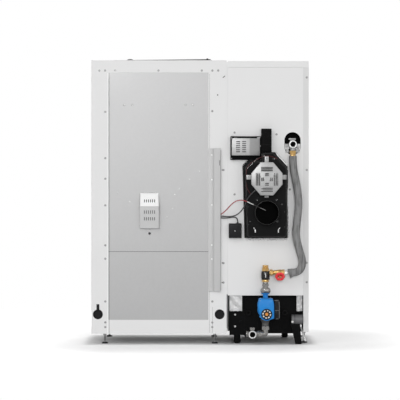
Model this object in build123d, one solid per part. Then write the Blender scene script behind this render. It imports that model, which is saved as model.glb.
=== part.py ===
from build123d import *
import math
import os

# Pellet boiler: a pellet store with its suction unit on the left and the boiler on the right,
# as seen from behind. Millimetres. The rear side faces -Y, +X is to the right as seen from
# behind, +Z is up. The origin is on the floor below the middle of the unit's bounding box.

# Casing of both modules
unit_width = 1196.0
hopper_width = 745.0
module_gap = 5.0
casing_depth = 650.0
hopper_top = 1561.0
boiler_top = 1557.0
casing_bottom = 57.0
boiler_skirt = 67.0
sheet = 1.5
thin_sheet = 1.0
bend = 1.2
fit_gap = 0.3
run_gap = 0.4

# Rear frame of the pellet store
left_strip = 94.0
right_strip = 101.0
rail_height = 67.0
tray_rail = 77.0
sheet_overlap = 15.0
sheet_seam = 509.0
front_tray = 20.0
hose_hole_radius = 27.0
hose_hole_height = 164.0
left_hole_inset = 36.5
right_hole_inset = 39.0
keyhole_slot = 16.0
keyhole_rise = 56.0

# Lid on the pellet store
lid_inset_left = 118.0
lid_hinge_inset = 84.0
lid_front_inset = 60.0
lid_depth = 470.0
lid_gap = 1.0
lid_height = 5.0
lid_overlap = 30.0
lid_pin_radius = 3.0
lid_knuckle_radius = 6.0
lid_leaf = 23.0
lid_handle_inset = 89.0
lid_handle_width = 30.0
lid_handle_rise = 17.0
lid_handle_length = 110.0
lid_handle_bar = 7.0

# Cable channel on the right-hand strip
channel_inset = 34.0
channel_width = 38.0
channel_wing = 27.0
channel_low = 291.0
channel_high = 1077.0
channel_proud = 22.0
wing_proud = 9.0
cable_exit_height = 705.0
grommet_radius = 13.0
grommet_length = 6.0

# Vent hood on the upper back sheet
hood_inset = 268.0
hood_width = 104.0
hood_low = 637.0
hood_fold = 759.0
hood_high = 831.0
hood_proud = 38.0
hood_foot = 22.0
hood_sheet = 1.2
hood_slot_width = 7.0
hood_slot_height = 18.0
hood_slot_count = 6
hood_vent_radius = 6.5
hood_vent_drop = 28.0

# Pellet store and auger
store_inset = 117.0
store_width = 500.0
store_rear_gap = 158.0
store_front_gap = 50.0
store_top_gap = 82.0
store_taper_top = 820.0
store_wall = 2.0
outlet_width = 100.0
outlet_depth = 70.0
auger_depth = 330.0
auger_height = 520.0
auger_inlet_inset = 227.0
auger_tube_radius = 45.0
auger_bore_radius = 41.0
auger_flight_radius = 38.0
auger_core_radius = 12.0
auger_pitch = 60.0
auger_flight = 4.0
auger_collar = 24.0
auger_motor_length = 128.0
auger_motor_size = 96.0
auger_flange = 8.0

# Suction unit behind the vent hood
turbine_radius = 62.0
turbine_bore = 56.0
turbine_low = 650.0
turbine_high = 800.0
turbine_wheel_radius = 52.0
turbine_wheel_height = 30.0
turbine_blades = 8
turbine_port_radius = 22.0
turbine_pad = 60.0

# Boiler casing
cover_height = 34.0
cover_seam = 0.8
right_return = 30.0
rear_panel_low = 268.0
flow_hole_width = 89.0
flow_hole_low = 1042.0
flow_hole_high = 1166.0
front_thickness = 40.0
front_gap = 8.0
door_low = 330.0
door_high = 950.0
door_edge = 20.0
hinge_inset = 10.0
hinge_pin_radius = 4.0
hinge_pin_length = 12.0
hinge_ear = 3.0
hinge_ear_width = 26.0
plug_margin = 20.0

# Boiler base, legs and ash box
base_left_inset = 80.0
base_right_inset = 66.0
base_low = 56.0
base_high = 266.0
base_wall = 4.0
base_recess = 45.0
base_boss_radius = 14.0
base_boss_bore = 8.0
base_boss_reach = 18.0
base_boss_height = 170.0
base_boss_inset = 35.0
leg_plate_low = 47.0
leg_plate_high = 188.0
leg_plate_width = 85.0
leg_plate_hole = 5.0
leg_radius = 18.0
leg_front_gap = 100.0
leg_drum_radius = 27.0
leg_drum_length = 64.0
leg_drum_height = 135.0
leg_foot_thickness = 30.0
foot_pad_radius = 17.5
foot_pad_height = 9.0
foot_stem_radius = 5.0
foot_nut = 17.0
ash_wall = 2.0
ash_clear = 4.0
ash_front_margin = 8.0
ash_length = 300.0
handle_reach = 34.0
handle_width = 150.0
handle_bar = 7.0
handle_post = 24.0

# Water vessel with the fire chamber and its heat exchanger tubes
vessel_left_inset = 45.0
vessel_right_inset = 60.0
vessel_rear_gap = 60.0
vessel_top = 1300.0
hood_top = 1380.0
hood_wall = 3.0
jacket = 38.0
vessel_wall = 5.0
tube_wall = 4.0
chamber_low = 400.0
chamber_high = 850.0
chamber_rear = 200.0
ash_throat_gap = 42.5
ash_throat_depth = 180.0
tube_radius = 30.0
tube_rows = 2
tube_columns = 3
tube_pitch = 84.0
tube_centre_depth = 300.0
flue_slot = 50.0
mat_thickness = 32.0
mat_low = 182.0
mat_flap = 12.0
mat_rear_gap = 24.0
grate_depth = 230.0
grate_gap = 17.5
grate_wall = 12.0
grate_height = 46.0
grate_plate = 10.0
grate_hole_radius = 6.0
grate_holes = 5
grate_hole_margin = 35.0
turbulator_radius = 24.0
turbulator_blade = 2.0
turbulator_rod = 3.0
turbulator_length = 380.0
yoke_height = 8.0
yoke_rail = 16.0
yoke_clear = 0.3
yoke_lift = 40.0
crank_radius = 9.0
crank_knob_radius = 17.0
crank_arm = 40.0
crank_arm_width = 10.0
crank_pin_radius = 3.5
crank_swing = 30.0
crank_slot_play = 0.9
counterweight_reach = 90.0
counterweight_radius = 32.0
counterweight_depth = 20.0
yoke_plate = 6.0
yoke_plate_width = 28.0
yoke_plate_height = 22.0

# Flue gas fan on the rear of the boiler
fan_inset = 212.0
fan_height = 908.0
housing_depth = 70.0
housing_wall = 4.0
housing_low = 584.0
housing_left_top = 124.6
housing_left_low = 113.0
housing_right = 117.0
housing_shoulder = 73.0
housing_notch = 103.0
housing_crown = 148.0
housing_crown_right = 48.0
housing_crown_left = -27.0
housing_lip = 5.0
housing_rim = 10.0
inlet_radius = 50.0
outlet_drop = 184.0
outlet_radius = 65.0
outlet_wall = 2.0
outlet_collar = 36.0
outlet_step = 1.5
outlet_nose = 34.0
cover_half_width = 84.5
cover_half_height = 90.0
cover_top_half = 34.0
cover_side_half = 30.0
cover_depth = 50.0
cover_sheet = 1.2
cover_tab = 22.0
cover_tab_reach = 26.0
cover_top_reach = 34.0
louvre = 4.0
motor_radius = 40.0
motor_length = 42.0
motor_shaft_radius = 6.0
wheel_radius = 72.0
wheel_eye = 26.0
wheel_depth = 34.0
wheel_blades = 12
wheel_sheet = 2.0
probe_radius = 2.5
probe_drop = 135.0
probe_sheath_radius = 4.0
probe_offset = 22.0
clip_width = 10.0
clip_height = 26.0

# Control bracket, its slotted cover and the black channel above the fan
bracket_left_inset = 15.0
bracket_rise = 105.0
bracket_height = 130.0
bracket_proud = 22.0
bracket_sheet = 2.0
cover_margin_side = 7.0
cover_margin_low = 24.0
cover_margin_high = 12.0
slotted_depth = 40.0
slotted_slope = 58.0
slotted_edge = 14.0
slot_width = 22.0
slot_height = 4.6
slot_pitch = 11.0
slot_rows = 6
slot_column_gap = 33.0
riser_left_inset = 184.0
riser_width = 56.0
riser_rise = 276.0
riser_proud = 45.0

# Black sensor box
box_left_inset = 6.0
box_width = 70.0
box_low = 584.0
box_high = 665.0
box_proud = 34.0
box_groove = 1.0
box_gland_radius = 6.0
box_gland_height = 6.0
box_gland_inset = 49.0

# Pipework behind the boiler
pipe_offset = 55.0
thread_radius = 15.15
thread_length = 20.0
port_radius = 21.5
pipe_radius = 15.0
flow_inset = 89.0
flow_height = 1098.0
flow_offset = 30.0
flow_reach = 24.0
flow_clip_rise = 30.0
flow_clip_width = 42.0
flow_clip_height = 8.0
nipple_radius = 17.5
nipple_top = 1063.0
nipple_low = 1033.0
brass_height = 396.0
brass_radius = 14.0
brass_hex = 30.0
brass_hex_length = 14.0
chrome_nut = 18.0
bonnet_inset = 284.0
bonnet_length = 34.0
nut_reach = 50.0
bonnet_radius = 10.0
bonnet_tilt = 30.0
stem_radius = 3.0
stem_length = 18.0
wheel_rim_radius = 27.0
wheel_rim_tube = 5.0
wheel_lobes = 6
wheel_hub = 8.0
wheel_spoke = 5.0
wheel_thickness = 9.0
mixing_radius = 23.5
mixing_low = 357.0
mixing_high = 404.0
mixing_cap_radius = 19.0
mixing_cap_height = 33.0
union_nut = 52.0
union_top = 312.0
pump_inset = 206.0
pump_height = 194.0
pump_length = 180.0
pump_head_reach = 82.0
pump_head_start = 18.0
pump_volute_radius = 44.0
pump_volute_back = 34.0
pump_port_radius = 13.0
pump_flange_radius = 23.0
pump_flange_height = 6.0
pump_edge = 7.0
dial_radius = 30.0
dial_height = 9.0
dial_drop = 21.0
dial_shift = 4.0
dial_knob_radius = 9.0
dial_stem_radius = 4.0
dial_stem_length = 6.0
plug_width = 30.0
plug_height = 104.0
plug_depth = 44.0
plug_rise = 54.0
lower_cone_radius = 27.0
lower_cone_height = 38.0
lower_nut = 38.0
lower_nut_height = 22.0
return_height = 60.0
return_inset = 134.0
return_reach = 52.0
return_cap = 26.0
return_cap_rise = 36.0
return_stub = 34.0

# Free cables and the insulated hose
hose_diameter = 42.0
probe_cable_diameter = 5.0
cable_diameter = 6.0
arc_share = 0.45
probe_lead = 26.0
cable_lead = 24.0

# Front controls
display_width = 180.0
display_height = 110.0
display_proud = 6.0
display_low = 1290.0
switch_width = 22.0
switch_height = 30.0
switch_depth = 14.0
switch_proud = 4.0
switch_tilt = 7.0
switch_play = 3.0
latch_length = 120.0
latch_thickness = 12.0
latch_hub_radius = 14.0

# Casing screws
screw_head_radius = 4.5
screw_head_height = 2.2
screw_radius = 1.8
screw_length = 7.0
rail_screw_drop = 56.0
rail_screws_left = (44.0, 76.0, 131.0, 370.0)
rail_screws_right = (137.0, 79.0, 47.0)
strip_screw_inset = 77.0
strip_screws_left = (1278.0, 1023.0, 910.0, 764.0, 544.0, 470.0, 235.0, 120.0, 94.0)
strip_screws_right = (1282.0, 235.0, 119.0, 94.0)
wing_screw_gap = 8.0
edge_screw_inset = 18.0
edge_screws = (958.0, 446.0, 339.0)
return_screw_inset = 11.0
return_screws = (958.0, 448.0, 341.0)
return_screw_drop = 90.0
panel_screw_inset = 38.0
bracket_screw_rise = 21.0
riser_screw_gap = 29.0
riser_screw_drop = 30.0
fan_screw_drop_left = 84.0
fan_screw_drop_right = 57.0
fan_screw_gap = 13.0

# Places worked out from the sizes above
rear_reach = pipe_offset + pump_head_reach + dial_height
rear_y = (rear_reach - casing_depth - handle_reach) / 2
front_y = rear_y + casing_depth
hopper_left = -unit_width / 2
hopper_right = hopper_left + hopper_width
boiler_left = hopper_right + module_gap
boiler_right = unit_width / 2
rail_bottom = hopper_top - rail_height
tray_top = casing_bottom + tray_rail
cover_bottom = boiler_top - cover_height
strip_edge_left = hopper_left + left_strip
strip_edge_right = hopper_right - right_strip
sheet_face = rear_y + sheet
hopper_front = front_y - front_tray
boiler_front = front_y - front_thickness - fit_gap
auger_y = rear_y + auger_depth
auger_inlet_x = hopper_right - auger_inlet_inset
fan_x = boiler_left + fan_inset
housing_y = rear_y - housing_depth
outlet_height = fan_height - outlet_drop
outlet_y = housing_y - outlet_collar
probe_y = housing_y - probe_offset
cover_face_y = housing_y - cover_depth
pipe_y = rear_y - pipe_offset
pump_x = boiler_left + pump_inset
flow_x = boiler_right - flow_inset
flow_y = rear_y - flow_offset
return_x = boiler_left + return_inset
bonnet_x = boiler_left + bonnet_inset
base_left = boiler_left + base_left_inset
base_right = boiler_right - base_right_inset
base_rear = rear_y + base_recess
base_front = front_y - front_thickness - fit_gap
vessel_left = boiler_left + vessel_left_inset
vessel_right = boiler_right - vessel_right_inset
vessel_rear = rear_y + vessel_rear_gap
vessel_front = front_y - front_thickness - jacket
vessel_x = (vessel_left + vessel_right) / 2
chamber_left = vessel_left + jacket
chamber_right = vessel_right - jacket
chamber_back = rear_y + chamber_rear
throat_y = auger_y
bracket_left = boiler_left + bracket_left_inset
riser_left = boiler_left + riser_left_inset
bracket_right = riser_left - fit_gap
riser_low = fan_height + housing_crown + fit_gap
riser_high = fan_height + riser_rise
bracket_low = fan_height + bracket_rise
bracket_high = bracket_low + bracket_height
channel_right = hopper_right - channel_inset
channel_left = channel_right - channel_width
sensor_left = boiler_left + box_left_inset
hood_x = hopper_left + hood_inset + hood_width / 2
lid_left = hopper_left + lid_inset_left
hinge_x = hopper_right - lid_hinge_inset
lid_rear = rear_y + lid_front_inset
lid_front = lid_rear + lid_depth
lid_bottom = hopper_top + lid_gap
door_hinge_x = boiler_right - hinge_inset
door_hinge_y = front_y - front_thickness / 2


def block(x0, x1, y0, y1, z0, z1):
    centre = Pos((x0 + x1) / 2, (y0 + y1) / 2, (z0 + z1) / 2)
    return centre * Box(abs(x1 - x0), abs(y1 - y0), abs(z1 - z0))


def along(start, end):
    return Plane(origin=start, z_dir=Vector(*end) - Vector(*start))


def span(start, end):
    return (Vector(*end) - Vector(*start)).length


def rod(start, end, radius):
    seat = (Align.CENTER, Align.CENTER, Align.MIN)
    return along(start, end) * Cylinder(radius, span(start, end), align=seat)


def taper(start, end, first_radius, last_radius):
    seat = (Align.CENTER, Align.CENTER, Align.MIN)
    return along(start, end) * Cone(first_radius, last_radius, span(start, end), align=seat)


def hexagon(start, end, across_flats):
    face = RegularPolygon(across_flats / 2, 6, major_radius=False)
    return along(start, end) * extrude(face, span(start, end))


def ball(centre, radius):
    return Pos(*centre) * Sphere(radius)


# A flat outline of x and z points, as thick as y0 to y1.
def prism(outline, y0, y1):
    ground = Plane(origin=(0, y1, 0), x_dir=(1, 0, 0), z_dir=(0, -1, 0))
    face = ground * make_face(Polyline(*outline, close=True))
    return extrude(face, y1 - y0, dir=(0, -1, 0))


# A side outline of y and z points, as wide as x0 to x1.
def side_prism(outline, x0, x1):
    ground = Plane(origin=(x0, 0, 0), x_dir=(0, 1, 0), z_dir=(1, 0, 0))
    face = ground * make_face(Polyline(*outline, close=True))
    return extrude(face, x1 - x0, dir=(1, 0, 0))


# One arc for each corner of a route, as large as its two runs allow.
def route_radii(points):
    radii = []
    for before, here, after in zip(points, points[1:], points[2:]):
        run_in = Vector(*here) - Vector(*before)
        run_out = Vector(*after) - Vector(*here)
        half_turn = math.radians(run_in.get_angle(run_out)) / 2
        radii.append(arc_share * min(run_in.length, run_out.length) / math.tan(half_turn))
    return radii


def cord(name, points, diameter):
    radii = route_radii(points)
    path = FilletPolyline(*points, radius=radii)
    start = Plane(origin=path @ 0, z_dir=path % 0)
    tube = sweep(start * Circle(diameter / 2), path=path)
    print(name, "length", round(path.length, 1), "radii", [round(radius) for radius in radii])
    section = math.pi * diameter ** 2 / 4
    print(name, "volume over section times length", round(tube.volume / section / path.length, 4))
    return tube


# Places of the casing screws, as x, y of the face that the head sits on, and z.
def screw_places():
    frame_left = hopper_left + strip_screw_inset
    frame_right = strip_edge_right + channel_wing / 2 + wing_screw_gap
    rail_xs = [hopper_left + inset for inset in rail_screws_left]
    rail_xs += [hopper_right - inset for inset in rail_screws_right]
    rail = [(x, rear_y, hopper_top - rail_screw_drop) for x in rail_xs]
    left = [(frame_left, rear_y, height) for height in strip_screws_left]
    right = [(frame_right, rear_y, height) for height in strip_screws_right]
    edge = [(hopper_right - edge_screw_inset, rear_y, height) for height in edge_screws]
    heights = (boiler_top - return_screw_drop,) + return_screws
    strip = [(boiler_right - return_screw_inset, rear_y, height) for height in heights]
    panel = [(boiler_left + panel_screw_inset, rear_y, bracket_high + bracket_screw_rise),
             (riser_left + riser_width + riser_screw_gap, rear_y, riser_high - riser_screw_drop),
             (boiler_left + panel_screw_inset, rear_y, fan_height - fan_screw_drop_left),
             (fan_x + housing_right + fan_screw_gap, rear_y, fan_height - fan_screw_drop_right)]
    return rail + left + right + edge + strip + panel


def screw_holes():
    holes = [rod((x, y - sheet, z), (x, y + screw_length + sheet, z), screw_radius + fit_gap)
             for x, y, z in screw_places()]
    return Compound(holes)


def casing_screws():
    screws = []
    for x, y, z in screw_places():
        head = rod((x, y, z), (x, y - screw_head_height, z), screw_head_radius)
        head = fillet(head.edges().group_by(Axis.Y)[0], screw_head_height / 2)
        screws.append(head + rod((x, y, z), (x, y + screw_length, z), screw_radius))
    return Compound(screws)


# Folded side wall with its return along the rear edge.
def folded_side(outer_x, inward, strip_width, front, low, high):
    wall = block(outer_x, outer_x + inward * sheet, rear_y, front, low, high)
    strip = block(outer_x, outer_x + inward * strip_width, rear_y, rear_y + sheet, low, high)
    folded = wall + strip
    corner = folded.edges().filter_by(Axis.Z).sort_by_distance((outer_x, rear_y, (low + high) / 2))
    return fillet(corner[0], bend)


def hopper_left_side():
    side = folded_side(hopper_left, 1, left_strip, hopper_front, casing_bottom, rail_bottom)
    hole_x = hopper_left + left_hole_inset
    hole = rod((hole_x, rear_y - sheet, hose_hole_height), (hole_x, rear_y + 3 * sheet, hose_hole_height),
               hose_hole_radius)
    half = keyhole_slot / 2
    slot = block(hole_x - half, hole_x + half, rear_y - sheet, rear_y + 3 * sheet,
                 hose_hole_height, hose_hole_height + keyhole_rise)
    return side - hole - slot


def auger_passage(x):
    return rod((x - 3 * sheet, auger_y, auger_height), (x + 3 * sheet, auger_y, auger_height),
               auger_tube_radius + fit_gap)


def hopper_right_side():
    side = folded_side(hopper_right, -1, right_strip, hopper_front, casing_bottom, rail_bottom)
    hole_x = hopper_right - right_hole_inset
    hole = rod((hole_x, rear_y - sheet, hose_hole_height), (hole_x, rear_y + 3 * sheet, hose_hole_height),
               hose_hole_radius)
    return side - hole - auger_passage(hopper_right)


def hopper_top_frame():
    outer = block(hopper_left, hopper_right, rear_y, front_y, rail_bottom, hopper_top)
    inner = block(hopper_left + sheet, hopper_right - sheet, rear_y + sheet, front_y - sheet,
                  rail_bottom, hopper_top - sheet)
    shell = fillet(outer.edges().group_by(Axis.Z)[-1], bend) - inner
    mouth = block(lid_left + lid_overlap, hinge_x - lid_overlap, lid_rear + lid_overlap,
                  lid_front - lid_overlap, rail_bottom, hopper_top + sheet)
    return shell - mouth


def hopper_base_tray():
    left = hopper_left + sheet
    right = hopper_right - sheet
    floor = block(left, right, rear_y + sheet, hopper_front, casing_bottom, casing_bottom + sheet)
    rear = block(strip_edge_left, strip_edge_right, rear_y, rear_y + sheet, casing_bottom, tray_top)
    front = block(left, right, hopper_front - sheet, hopper_front, casing_bottom, tray_top)
    return floor + rear + front


def back_sheet(low, high):
    return block(strip_edge_left - sheet_overlap, strip_edge_right + sheet_overlap, sheet_face,
                 sheet_face + thin_sheet, low, high)


def upper_back_sheet():
    panel = back_sheet(sheet_seam, rail_bottom + sheet_overlap)
    vent = rod((hood_x + fit_gap, rear_y, hood_low - hood_vent_drop),
               (hood_x + fit_gap, sheet_face + 3 * sheet, hood_low - hood_vent_drop), hood_vent_radius)
    air = block(hood_x - hood_width / 3, hood_x + hood_width / 3, rear_y, sheet_face + 3 * sheet,
                hood_low + hood_foot, hood_high - hood_foot)
    return panel - vent - air


def lower_back_sheet():
    return back_sheet(tray_top - sheet_overlap, sheet_seam - fit_gap)


def hood_profile(offset):
    face = sheet_face
    return [(face, hood_low + offset), (face - hood_foot + offset, hood_low + offset),
            (face - hood_proud + offset, hood_fold), (face - 2 + offset, hood_high - offset),
            (face, hood_high - offset)]


def vent_hood():
    left = hood_x - hood_width / 2
    right = hood_x + hood_width / 2
    outer = side_prism(hood_profile(0), left, right)
    hood = outer - side_prism(hood_profile(hood_sheet), left + hood_sheet, right - hood_sheet)
    pitch = hood_width * 0.8 / hood_slot_count
    for column in range(hood_slot_count):
        x = hood_x + (column - (hood_slot_count - 1) / 2) * pitch
        for height in (hood_low + 38, hood_low + 78, hood_fold + 32):
            hood -= block(x - hood_slot_width / 2, x + hood_slot_width / 2, sheet_face - 2 * hood_proud,
                          sheet_face - hood_sheet, height - hood_slot_height / 2, height + hood_slot_height / 2)
    return hood


def cable_channel():
    wing = block(channel_left - channel_wing, channel_left, rear_y - wing_proud, rear_y,
                 channel_low, channel_high)
    body = block(channel_left, channel_right, rear_y - channel_proud, rear_y, channel_low, channel_high)
    inner = block(channel_left + sheet, channel_right - sheet, rear_y - channel_proud + sheet, rear_y,
                  channel_low, channel_high)
    hollow = block(channel_left - channel_wing + sheet, channel_left + sheet, rear_y - wing_proud + sheet,
                   rear_y, channel_low, channel_high)
    y = rear_y - channel_proud / 2
    exit_start = (channel_right - 2 * sheet, y, cable_exit_height)
    exit_end = (channel_right + grommet_length, y, cable_exit_height)
    opening = rod(exit_start, exit_end, grommet_radius - 4)
    channel = wing + body - inner - hollow
    slot = block(channel_right - 2 * sheet, channel_right + sheet, y - 5, y + 5,
                 cable_exit_height - grommet_radius, cable_exit_height + grommet_radius)
    return channel - slot


# The rim that the lid closes on, its seal, and the hinge leaves with their pins.
def lid_hinge():
    leaves = []
    for y in (lid_rear + lid_depth * 0.2, lid_rear + lid_depth * 0.8):
        leaf = block(hinge_x + lid_knuckle_radius + fit_gap, hinge_x + lid_leaf, y - lid_leaf, y + lid_leaf,
                     hopper_top, hopper_top + 2)
        centre = hopper_top + lid_knuckle_radius
        for side in (-1, 1):
            start = (hinge_x, y + side * 10, centre)
            knuckle = rod(start, (hinge_x, y + side * lid_leaf, centre), lid_knuckle_radius)
            arm = block(hinge_x, hinge_x + lid_leaf / 2, y + side * 10, y + side * lid_leaf,
                        hopper_top, hopper_top + 2)
            leaf = leaf + knuckle + arm
        pin = rod((hinge_x, y - lid_leaf, centre), (hinge_x, y + lid_leaf, centre), lid_pin_radius)
        leaves.append(leaf + pin)
    return Compound(leaves)


def hopper_lid():
    top = lid_bottom + lid_height
    right = hinge_x - lid_knuckle_radius - fit_gap
    lid = block(lid_left, right, lid_rear, lid_front, lid_bottom, top)
    lid = fillet(lid.edges().group_by(Axis.Z)[-1], bend)
    lid -= block(lid_left + sheet, right - sheet, lid_rear + sheet, lid_front - sheet, lid_bottom, top - sheet)
    inset = lid_overlap + 2
    lip = block(lid_left + inset, right - inset, lid_rear + inset, lid_front - inset,
                lid_bottom - 8, top - sheet)
    hollow = block(lid_left + inset + 2, right - inset - 2, lid_rear + inset + 2, lid_front - inset - 2,
                   lid_bottom - 8, top - sheet)
    centre = hopper_top + lid_knuckle_radius
    lid = lid + (lip - hollow)
    for y in (lid_rear + lid_depth * 0.2, lid_rear + lid_depth * 0.8):
        ear = rod((hinge_x, y - 9.7, centre), (hinge_x, y + 9.7, centre), lid_knuckle_radius - fit_gap)
        web = block(right - 6, hinge_x, y - 9.7, y + 9.7, lid_bottom + 1, top)
        bore = rod((hinge_x, y - 20, centre), (hinge_x, y + 20, centre), lid_pin_radius + 0.1)
        lid = lid + ear + web - bore
    return lid


def lid_handle():
    base = lid_bottom + lid_height
    x = lid_left + lid_handle_inset
    y = lid_rear + lid_handle_inset
    top = base + lid_handle_rise
    bar = block(x - lid_handle_width / 2, x + lid_handle_width / 2, y, y + lid_handle_length, base, top)
    bar = fillet(bar.edges().filter_by(Axis.Y).group_by(Axis.Z)[-1], lid_handle_width / 2 - 1)
    grip = block(x - lid_handle_width, x + lid_handle_width, y + lid_handle_bar,
                 y + lid_handle_length - lid_handle_bar, base, top - lid_handle_bar)
    return bar - grip


def hopper_front_panel():
    outer = block(hopper_left, hopper_right, hopper_front, front_y, casing_bottom, rail_bottom - fit_gap)
    outer = fillet(outer.edges().group_by(Axis.Y)[-1], 2 * bend)
    inner = block(hopper_left + sheet, hopper_right - sheet, hopper_front, front_y - sheet,
                  casing_bottom + sheet, rail_bottom - fit_gap - sheet)
    return outer - inner


def store_box(offset, low):
    left = hopper_left + store_inset + offset
    right = hopper_left + store_inset + store_width - offset
    rear = rear_y + store_rear_gap + offset
    front = hopper_front - store_front_gap - offset
    high = hopper_top - store_top_gap
    straight = block(left, right, rear, front, store_taper_top, high)
    wide = Plane.XY.offset(store_taper_top) * Pos((left + right) / 2, (rear + front) / 2)
    wide = wide * Rectangle(right - left, front - rear)
    narrow = Plane.XY.offset(low) * Pos(auger_inlet_x, auger_y)
    narrow = narrow * Rectangle(outlet_width - 2 * offset, outlet_depth - 2 * offset)
    return straight + loft([narrow, wide])


def pellet_hopper():
    low = auger_height + auger_tube_radius + auger_collar
    high = hopper_top - store_top_gap
    store = store_box(0, low) - store_box(store_wall, low)
    left = hopper_left + sheet
    bearer_low = high - 30
    rear = rear_y + store_rear_gap
    front = hopper_front - store_front_gap
    for y in (rear + 60, front - 60):
        store += block(left, hopper_left + store_inset, y - 12, y + 12, bearer_low, high)
        store += block(hopper_left + store_inset + store_width, hopper_right - sheet, y - 12, y + 12,
                       bearer_low, high)
    return store


def auger_tube():
    start = auger_inlet_x - outlet_width / 2 - 20
    tube = rod((start, auger_y, auger_height), (chamber_left, auger_y, auger_height), auger_tube_radius)
    tube += block(auger_inlet_x - outlet_width / 2, auger_inlet_x + outlet_width / 2,
                  auger_y - outlet_depth / 2, auger_y + outlet_depth / 2, auger_height,
                  auger_height + auger_tube_radius + auger_collar)
    half_width = outlet_width / 2 - store_wall
    half_depth = outlet_depth / 2 - store_wall
    tube -= block(auger_inlet_x - half_width, auger_inlet_x + half_width, auger_y - half_depth,
                  auger_y + half_depth, auger_height, auger_height + auger_tube_radius + 2 * auger_collar)
    bore = rod((start, auger_y, auger_height), (chamber_left, auger_y, auger_height), auger_bore_radius)
    return tube - bore


def auger_screw():
    start = auger_inlet_x - outlet_width / 2 - 20
    flight_start = start + 12
    flight_length = chamber_left - flight_start - 6
    core = rod((start + fit_gap, auger_y, auger_height), (chamber_left - 2, auger_y, auger_height),
               auger_core_radius)
    middle = (auger_flight_radius + auger_core_radius - 1) / 2
    path = Helix(auger_pitch, flight_length, middle)
    profile = Plane(origin=path @ 0, x_dir=(1, 0, 0), z_dir=path % 0)
    profile = profile * Rectangle(auger_flight_radius - auger_core_radius + 1, auger_flight)
    flight = sweep(profile, path=path, is_frenet=True)
    placed = Pos(flight_start, auger_y, auger_height) * Rot(0, 90, 0) * flight
    shaft = rod((start - 40, auger_y, auger_height), (start + 2, auger_y, auger_height), 8)
    return core + placed + shaft


def auger_motor():
    end = auger_inlet_x - outlet_width / 2 - 20
    flange = block(end - auger_flange, end, auger_y - auger_motor_size / 2, auger_y + auger_motor_size / 2,
                   auger_height - auger_motor_size / 2, auger_height + auger_motor_size / 2)
    gear = block(end - auger_motor_length / 2, end - auger_flange, auger_y - 38, auger_y + 38,
                 auger_height - 38, auger_height + 38)
    motor = rod((end - auger_motor_length, auger_y, auger_height),
                (end - auger_motor_length / 2, auger_y, auger_height), 34)
    socket = rod((end - 46, auger_y, auger_height), (end, auger_y, auger_height), 8 + fit_gap)
    return flange + gear + motor - socket


def turbine_centre():
    return hood_x, sheet_face + thin_sheet + turbine_radius + 14


def suction_turbine():
    x, y = turbine_centre()
    body = rod((x, y, turbine_low), (x, y, turbine_high), turbine_radius)
    body = fillet(body.edges().group_by(Axis.Z)[-1], 6)
    pad = block(x - turbine_pad / 2, x + turbine_pad / 2, sheet_face + thin_sheet, y, turbine_low,
                turbine_low + 34)
    room = rod((x, y, turbine_high - 60), (x, y, turbine_high - 6), turbine_bore)
    inlet = rod((x, y, turbine_high - 20), (x, y, turbine_high + 30), turbine_port_radius)
    spout = rod((x, y, turbine_high - 8), (x, y, turbine_high + 22), turbine_port_radius + 2)
    side = rod((x, y, turbine_high - 34), (x - turbine_radius - 20, y, turbine_high - 34), 18)
    side_bore = rod((x, y, turbine_high - 34), (x - turbine_radius - 30, y, turbine_high - 34), 16)
    shaft = rod((x, y, turbine_high - 80), (x, y, turbine_high - 50), 4 + fit_gap)
    return body + pad + spout + side - room - inlet - side_bore - shaft


def turbine_impeller():
    x, y = turbine_centre()
    low = turbine_high - 52
    wheel = rod((x, y, low), (x, y, low + wheel_sheet), turbine_wheel_radius)
    wheel += rod((x, y, low), (x, y, low + turbine_wheel_height), 10)
    for index in range(turbine_blades):
        blade = block(8, turbine_wheel_radius - 2, -1.2, 1.2, 0, turbine_wheel_height)
        wheel += Pos(x, y, low) * Rot(0, 0, index * 360 / turbine_blades) * blade
    return wheel + rod((x, y, turbine_high - 78), (x, y, low), 4)


def flow_opening():
    half = flow_hole_width / 2
    y0 = rear_y - sheet
    y1 = rear_y + 3 * sheet
    opening = block(flow_x - half, flow_x + half, y0, y1, flow_hole_low + half, flow_hole_high - half)
    opening += rod((flow_x, y0, flow_hole_low + half), (flow_x, y1, flow_hole_low + half), half)
    return opening + rod((flow_x, y0, flow_hole_high - half), (flow_x, y1, flow_hole_high - half), half)


def boiler_rear_panel():
    left = boiler_left + sheet + fit_gap
    right = boiler_right - right_return - fit_gap
    top = cover_bottom - cover_seam
    panel = block(left, right, rear_y, rear_y + sheet, rear_panel_low, top)
    hem = block(left, right, rear_y, rear_y + 18, rear_panel_low, rear_panel_low + sheet)
    head = block(left, right, rear_y, rear_y + 18, top - sheet, top)
    inlet = rod((fan_x, rear_y - sheet, fan_height), (fan_x, rear_y + 3 * sheet, fan_height),
                inlet_radius + housing_wall + 4)
    return panel + hem + head - flow_opening() - inlet


def boiler_left_side():
    wall = block(boiler_left, boiler_left + sheet, rear_y, boiler_front, boiler_skirt,
                 cover_bottom)
    return wall - auger_passage(boiler_left)


# The right wall also carries the chamber door's two hinge ears with their pins.
def boiler_right_side():
    side = folded_side(boiler_right, -1, right_return, boiler_front, boiler_skirt, cover_bottom)
    foot = block(boiler_right - 40, boiler_right - sheet, rear_y + sheet, boiler_front, boiler_skirt,
                 boiler_skirt + sheet)
    side += foot
    for low, pin_end in ((door_high + 2, door_high - hinge_pin_length),
                         (door_low - 2 - hinge_ear, door_low + hinge_pin_length)):
        half = hinge_ear_width / 2
        ear = block(door_hinge_x - half, boiler_right, boiler_front - 30, door_hinge_y + 10,
                    low, low + hinge_ear)
        middle = low + hinge_ear / 2
        pin = rod((door_hinge_x, door_hinge_y, middle), (door_hinge_x, door_hinge_y, pin_end),
                  hinge_pin_radius)
        side += ear + pin
    return side


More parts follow.
